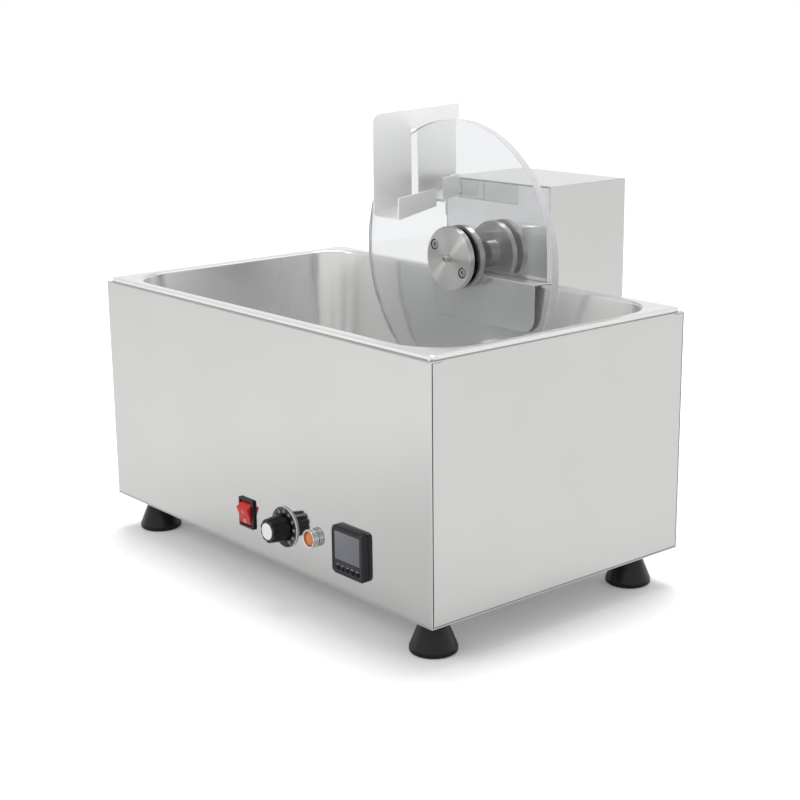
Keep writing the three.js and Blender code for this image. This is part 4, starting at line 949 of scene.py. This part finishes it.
def controller():
    """Square panel controller: frame, window, five keys and a mark over each key."""
    place = on_panel("controller_bezel")
    rings = [
        (24, 0.3, 5), (24, 4.9, 5), (23.85, 5.25, 4.9), (23.5, 5.45, 4.7), (22.6, 6.5, 4.2),
        (22.3, 6.75, 4.0), (21.9, 6.8, 3.7), (21.5, 6.7, 3.4), (21.1, 6.25, 3.2), (20.9, 6.2, 3.1),
    ]
    outer = skinned([round_ring(half, half, corner, z) for half, z, corner in rings])
    bezel = piece_of("controller_frame", outer, place, crease_degrees=40)

    def slab(half_x, half_y, corner, z0, z1, x=0, y=0):
        return moved(skinned([round_ring(half_x, half_y, corner, z, 3, x, y) for z in (z0, z1)]), place)

    keys, pitch, drop, window_rise = 5, 7.4, 17.2, 5
    spots = [(i - 2) * pitch for i in range(keys)]
    holes = [slab(2.6, 1.8, 0.4, -1, 9, x, -drop) for x in spots]
    bored(bezel, slab(22.6, 22.6, 1, -1, 1.8), slab(18.8, 14.3, 0.8, 5.1, 9, 0, window_rise), *holes)
    stand_for(bezel, "controller_bezel")

    panes = [
        round_ring(18.5 - inset, 14 - inset, 0.8, z, 3, y=window_rise)
        for inset, z in ((0, 5.4), (0, 6.1), (0.15, 6.3), (0.4, 6.36))
    ]
    stand_for(piece_of("controller_screen", skinned(panes), place), "controller_window")
    for number, x in enumerate(spots, 1):
        layers = [
            round_ring(2.3 - inset, 1.5 - inset, 0.45, z, 4, x, -drop)
            for inset, z in ((0, 2.4), (0, 7.2), (0.08, 7.45), (0.25, 7.62), (0.5, 7.68))
        ]
        key = piece_of("controller_button_" + str(number), skinned(layers), place)
        stand_for(key, "controller_key_" + str(number))
    marks = grown("controller_marks", mark_row_tree(), {
        "Marks": keys, "Pitch": pitch * MM, "Length": 2.0 * MM, "Width": 0.45 * MM, "Height": 0.05 * MM,
        "Material": finishes["mark_paint"],
    })
    go_with(placed(marks, place @ Matrix.Translation((0, -14.1, 6.22))), "housing")


def controls():
    rocker_switch()
    dial()
    speed_knob()
    pilot_lamp()
    controller()


# Drive unit

def drive_unit():
    """Box with its hook and the scraper's pocket."""
    low, high, _ = span("drive_cover")
    hook_front = span("hook_bracket")[0].y
    shelf = span("drive_front_plate")[0].z - 0.3

    def is_outer(spot, along):
        on_wall = near(spot.x, low.x) or near(spot.x, high.x) or near(spot.z, high.z)
        return on_wall and (near(spot.z, high.z) or near(spot.y, high.y) or near(spot.y, low.y))

    def is_hook_bend(spot, along):
        return near(spot.y, hook_front) and near(spot.z, shelf)

    stand_for(folded("drive_cover", "drive_case", 1.1, 0.2, is_outer), "drive_cover")
    face = folded("drive_front_plate", "drive_face", 0.3, 1.0, segments=3)
    stand_for(face, "drive_front_plate", finish="mirror_steel")
    stand_for(folded("drive_floor", "drive_pan", 0.4, 1.0, segments=3), "drive_floor")
    stand_for(folded("hook_bracket", "hook", 1.2, 0.25, is_hook_bend), "hook_bracket", finish="hook_steel")
    stand_for(folded("scraper_pocket", "pocket", 0.35, 1.0, segments=3), "scraper_pocket")


def scraper():
    """Folded scraper sheet: only the folds along its troughs are round."""
    low, trough_top = span("scraper")[0], 400

    def is_fold(spot, along):
        return near(spot.x, low.x) and spot.z < trough_top and abs(along.y) > 0.9

    stand_for(folded("scraper", "scraper_sheet", 1.1, 0.3, is_fold), "scraper")


# Wheel and hub, in millimetres from the wheel's middle, with Z out to the front

WHEEL_RADIUS, WHEEL_HALF = 150, 5
HUB_RADIUS, HUB_FACE = 35, 14.3
SEAL_RADIUS, SEAL_THICKNESS = 32.5, 1.2
BORE = 3.8
SCREW_HOLE, SCREW_POCKET, SCREW_CIRCLE = 3.3, 5.9, 26
SCREW_SPOTS = [
    (SCREW_CIRCLE * math.cos(math.radians(turn)), SCREW_CIRCLE * math.sin(math.radians(turn)))
    for turn in (149, 329)
]


def drills(radius, bottom, top, place):
    """Round cutters along the wheel's axis, one at each screw."""
    return [
        moved(
            turned_shape([(0, bottom), (radius, bottom), (radius, top), (0, top)], 40),
            place @ Matrix.Translation((x, y, 0)),
        )
        for x, y in SCREW_SPOTS
    ]


def disc(place):
    """Clear disc with broken edges and a paler rim."""
    chamfer = 0.7
    edge = WHEEL_RADIUS - chamfer
    profile = [
        (BORE, -WHEEL_HALF), (edge, -WHEEL_HALF), (WHEEL_RADIUS, chamfer - WHEEL_HALF),
        (WHEEL_RADIUS, WHEEL_HALF - chamfer), (edge, WHEEL_HALF), (BORE, WHEEL_HALF),
    ]
    piece = piece_of("clear_disc", turned_shape(profile, 256), place, crease_degrees=20)
    bored(piece, *drills(SCREW_HOLE, -8, 8, place))
    piece.data.materials.append(finishes["clear_acrylic"])
    piece.data.materials.append(finishes["edge_acrylic"])
    centre = Vector(WHEEL_MIDDLE)
    for face in piece.data.polygons:
        arm = face.center - centre
        if math.hypot(arm.x, arm.z) > 149.4 * MM:
            face.material_index = 1
    stand_for(piece, "tempering_wheel")


def front_flange(place):
    """Front flange with a groove in its side and a pocket for each screw, the pocket's faces darkened with
    painted shade.
    """
    groove = HUB_RADIUS - 0.4
    piece = piece_of("front_flange", turned_shape(eased([
        (BORE, 6.8), (HUB_RADIUS, 6.8, 0.5), (HUB_RADIUS, 8.9, 0.2), (groove, 9.2, 0.2), (groove, 9.6, 0.2),
        (HUB_RADIUS, 9.9, 0.2), (HUB_RADIUS, 13.5, 0.3), (34.2, HUB_FACE, 0.3), (BORE, HUB_FACE, 0.2),
    ], closed=True), 128), place)
    bored(piece, *drills(SCREW_POCKET, 9.3, 18, place), *drills(SCREW_HOLE, 0, 12, place))
    piece.data.materials.append(finishes["turned_steel"])
    piece.data.materials.append(finishes["pocket_shade"])
    # Painted shade: faces within 6 mm of each screw's axis, apart from the flange's front face, take the dark
    # finish
    for face in piece.data.polygons:
        for x, y in SCREW_SPOTS:
            arm = face.center / MM - (place @ Vector((x, y, 0)))
            if math.hypot(arm.x, arm.z) < 6 and not near(arm.y, -HUB_FACE, 0.1):
                face.material_index = 1
    stand_for(piece, "hub_front_flange")


def wheel():
    """Disc between two flanges and their seals, two screws, the shaft and its bush."""
    place = Matrix.Translation(span("tempering_wheel")[2]) @ TO_FRONT
    disc(place)
    for node, name, bottom in (("gasket_front", "front_seal", 5.3), ("gasket_rear", "rear_seal", -6.5)):
        top = bottom + SEAL_THICKNESS
        seal = piece_of(name, turned_shape(eased([
            (BORE, bottom), (SEAL_RADIUS, bottom, 0.4), (SEAL_RADIUS, top, 0.4), (BORE, top),
        ], closed=True), 96), place)
        stand_for(bored(seal, *drills(SCREW_HOLE, -10, 10, place)), node)
    front_flange(place)

    collar, sleeve, shaft_hole = 15, -26.5, 6.3
    rear = piece_of("rear_flange", turned_shape(eased([
        (BORE, -6.8), (HUB_RADIUS, -6.8, 0.5), (HUB_RADIUS, -13.8, 0.9), (collar, -13.8, 1.2),
        (collar, sleeve, 0.8), (shaft_hole, sleeve), (shaft_hole, -9.8), (BORE, -9.8),
    ], closed=True), 128), place)
    stand_for(bored(rear, *drills(SCREW_HOLE, -13.1, 0, place)), "hub_rear_flange")

    for number, (x, y) in enumerate(SCREW_SPOTS, 1):
        head = [
            circle_ring(3, -12.8), circle_ring(3, 9.6), circle_ring(4.5, 9.6), circle_ring(4.8, 9.9),
            circle_ring(4.8, 13.5), circle_ring(4.6, 13.9), circle_ring(4.2, 14.1), circle_ring(3.1, 14.1),
            hexagon_ring(2.5, 13.8), hexagon_ring(2.5, 11.7), [(0, 0, 11.2)],
        ]
        screw = piece_of("socket_screw_" + str(number), skinned(head), place @ Matrix.Translation((x, y, 0)))
        stand_for(screw, "hub_screw_" + str(number))

    shaft = piece_of("drive_shaft", turned_shape(eased([
        (0, -76.6), (6, -76.6, 0.6), (6, -10.1, 0.3), (3.5, -10.1), (3.5, 20.8, 0.5), (2.0, 20.8, 0.2),
        (1.9, 16.5), (0, 15.6),
    ]), 48), place)
    stand_for(shaft, "output_shaft")

    barrel, lip = 9, 12
    bush = piece_of("bush_ring", turned_shape(eased([
        (shaft_hole, -41.5), (barrel, -41.5, 0.4), (barrel, -38, 0.2), (lip, -38, 0.3), (lip, -36, 0.3),
        (barrel, -36, 0.2), (barrel, -33.5, 0.5), (shaft_hole, -33.5, 0.5),
    ], closed=True), 64), place)
    stand_for(bush, "shaft_bush")


# Floor, light and camera

def floor():
    """Pale paper, darker to gloss and bounced light than to the camera, with a painted shadow near the
    machine.
    """
    half = 6
    plane = bmesh.new()
    corners = [plane.verts.new((x * half, y * half, 0)) for x, y in ((-1, -1), (1, -1), (1, 1), (-1, 1))]
    plane.faces.new(corners)
    mesh = bpy.data.meshes.new("floor")
    plane.to_mesh(mesh)
    plane.free()
    finish = Finish("floor_paper")
    seen = finish.add("ShaderNodeLightPath").outputs["Is Camera Ray"]
    # Painted shadow: to gloss and bounced light the paper darkens towards a spot in front of the machine
    away = finish.add("ShaderNodeVectorMath", {0: finish.place, 1: (0.15, -0.45, 0)}, operation="DISTANCE")
    painted_shadow = finish.add("ShaderNodeMapRange", {
        "Value": away.outputs["Value"], "From Min": 0.0, "From Max": 0.7, "To Min": 0.6, "To Max": 0.8,
    }, interpolation_type="SMOOTHSTEP").outputs[0]
    white = finish.add("ShaderNodeMix", {"Factor": seen, "A": painted_shadow, "B": 1.0}).outputs["Result"]
    paper = finish.add("ShaderNodeBsdfDiffuse", {"Color": white, "Roughness": 0.0})
    strength = finish.sum(finish.sum(seen, 0.07, "MULTIPLY"), 0.06)
    glow = finish.add("ShaderNodeEmission", {"Strength": strength})
    both = finish.add("ShaderNodeAddShader", {0: paper.outputs[0], 1: glow.outputs[0]})
    feed(finish.tree, finish.tree.nodes["Material Output"].inputs["Surface"], both.outputs[0])
    finish.tree.nodes.remove(finish.shader)
    mesh.materials.append(finish.material)
    set_up("floor", mesh)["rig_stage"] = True


def surroundings():
    """White room: plain soft light, and a white view, greyer overhead, for camera and gloss."""
    world = bpy.data.worlds.new("white_room")
    bpy.context.scene.world = world
    world.use_nodes = True
    tree = world.node_tree
    tree.nodes.clear()
    white = (1, 1, 1, 1)
    light = add_node(tree, "ShaderNodeBackground", {"Color": white, "Strength": 0.66})
    heading = add_node(tree, "ShaderNodeTexCoord").outputs["Generated"]
    height = add_node(tree, "ShaderNodeSeparateXYZ", {0: heading}).outputs["Z"]
    ceiling = add_node(tree, "ShaderNodeMapRange", {
        "Value": height, "From Min": 0.05, "From Max": 0.5, "To Min": 1.0, "To Max": 0.66,
    })
    view = add_node(tree, "ShaderNodeBackground", {"Color": white, "Strength": ceiling.outputs[0]})
    path = add_node(tree, "ShaderNodeLightPath").outputs
    gloss = tree_math(tree, "MAXIMUM", path["Is Camera Ray"], path["Is Glossy Ray"])
    seen = tree_math(tree, "MAXIMUM", gloss, path["Is Transmission Ray"])
    mix = add_node(tree, "ShaderNodeMixShader", {0: seen, 1: light.outputs[0], 2: view.outputs[0]})
    add_node(tree, "ShaderNodeOutputWorld", {0: mix.outputs[0]})


def lamp(name, spot, aim, size, power):
    """Square soft lamp, in metres and watts."""
    light = bpy.data.lights.new(name, "AREA")
    light.shape = "SQUARE"
    light.size = size
    light.energy = power
    holder = set_up(name, light)
    holder.location = spot
    holder.rotation_euler = (Vector(aim) - Vector(spot)).to_track_quat("-Z", "Y").to_euler()


def overhead():
    """Wide soft light from above and a little behind, even over the whole floor."""
    light = bpy.data.lights.new("overhead", "SUN")
    light.angle = math.radians(25)
    light.energy = 1.65
    down = Vector((0.166, -0.2, -0.966))
    set_up("overhead", light).rotation_euler = down.to_track_quat("-Z", "Y").to_euler()


def camera():
    """Camera at the photograph's angle, which is turned a little about its own axis."""
    azimuth, height, roll = math.radians(50.06), math.radians(14.38), math.radians(-0.60)
    back = Vector((
        math.sin(azimuth) * math.cos(height), -math.cos(azimuth) * math.cos(height), math.sin(height),
    ))
    right = (-back).cross(Vector((0, 0, 1))).normalized()
    up = right.cross(-back)
    rolled_right = right * math.cos(roll) + up * math.sin(roll)
    rolled_up = up * math.cos(roll) - right * math.sin(roll)
    turn = Matrix((rolled_right, rolled_up, back)).transposed().to_4x4()
    lens = bpy.data.cameras.new("camera")
    lens.lens = 70.82
    lens.sensor_width = 36
    lens.clip_start = 0.01
    holder = set_up("camera", lens)
    holder.matrix_world = Matrix.Translation((1.2566, -1.0680, 0.5864)) @ turn
    bpy.context.scene.camera = holder


camera()
housing()
controls()
drive_unit()
scraper()
wheel()
floor()
surroundings()
overhead()
lamp("rear_softbox", (0.5, 1.3, 1.9), (0, 0, 0.3), 1.0, 3)
lamp("front_softbox", (-0.1, -1.6, 1.35), (0, -0.1, 0.2), 0.55, 5)
bpy.context.scene.view_settings.view_transform = "Standard"

both = [[list(corner) for corner in box] for box in (cad_bounds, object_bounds())]
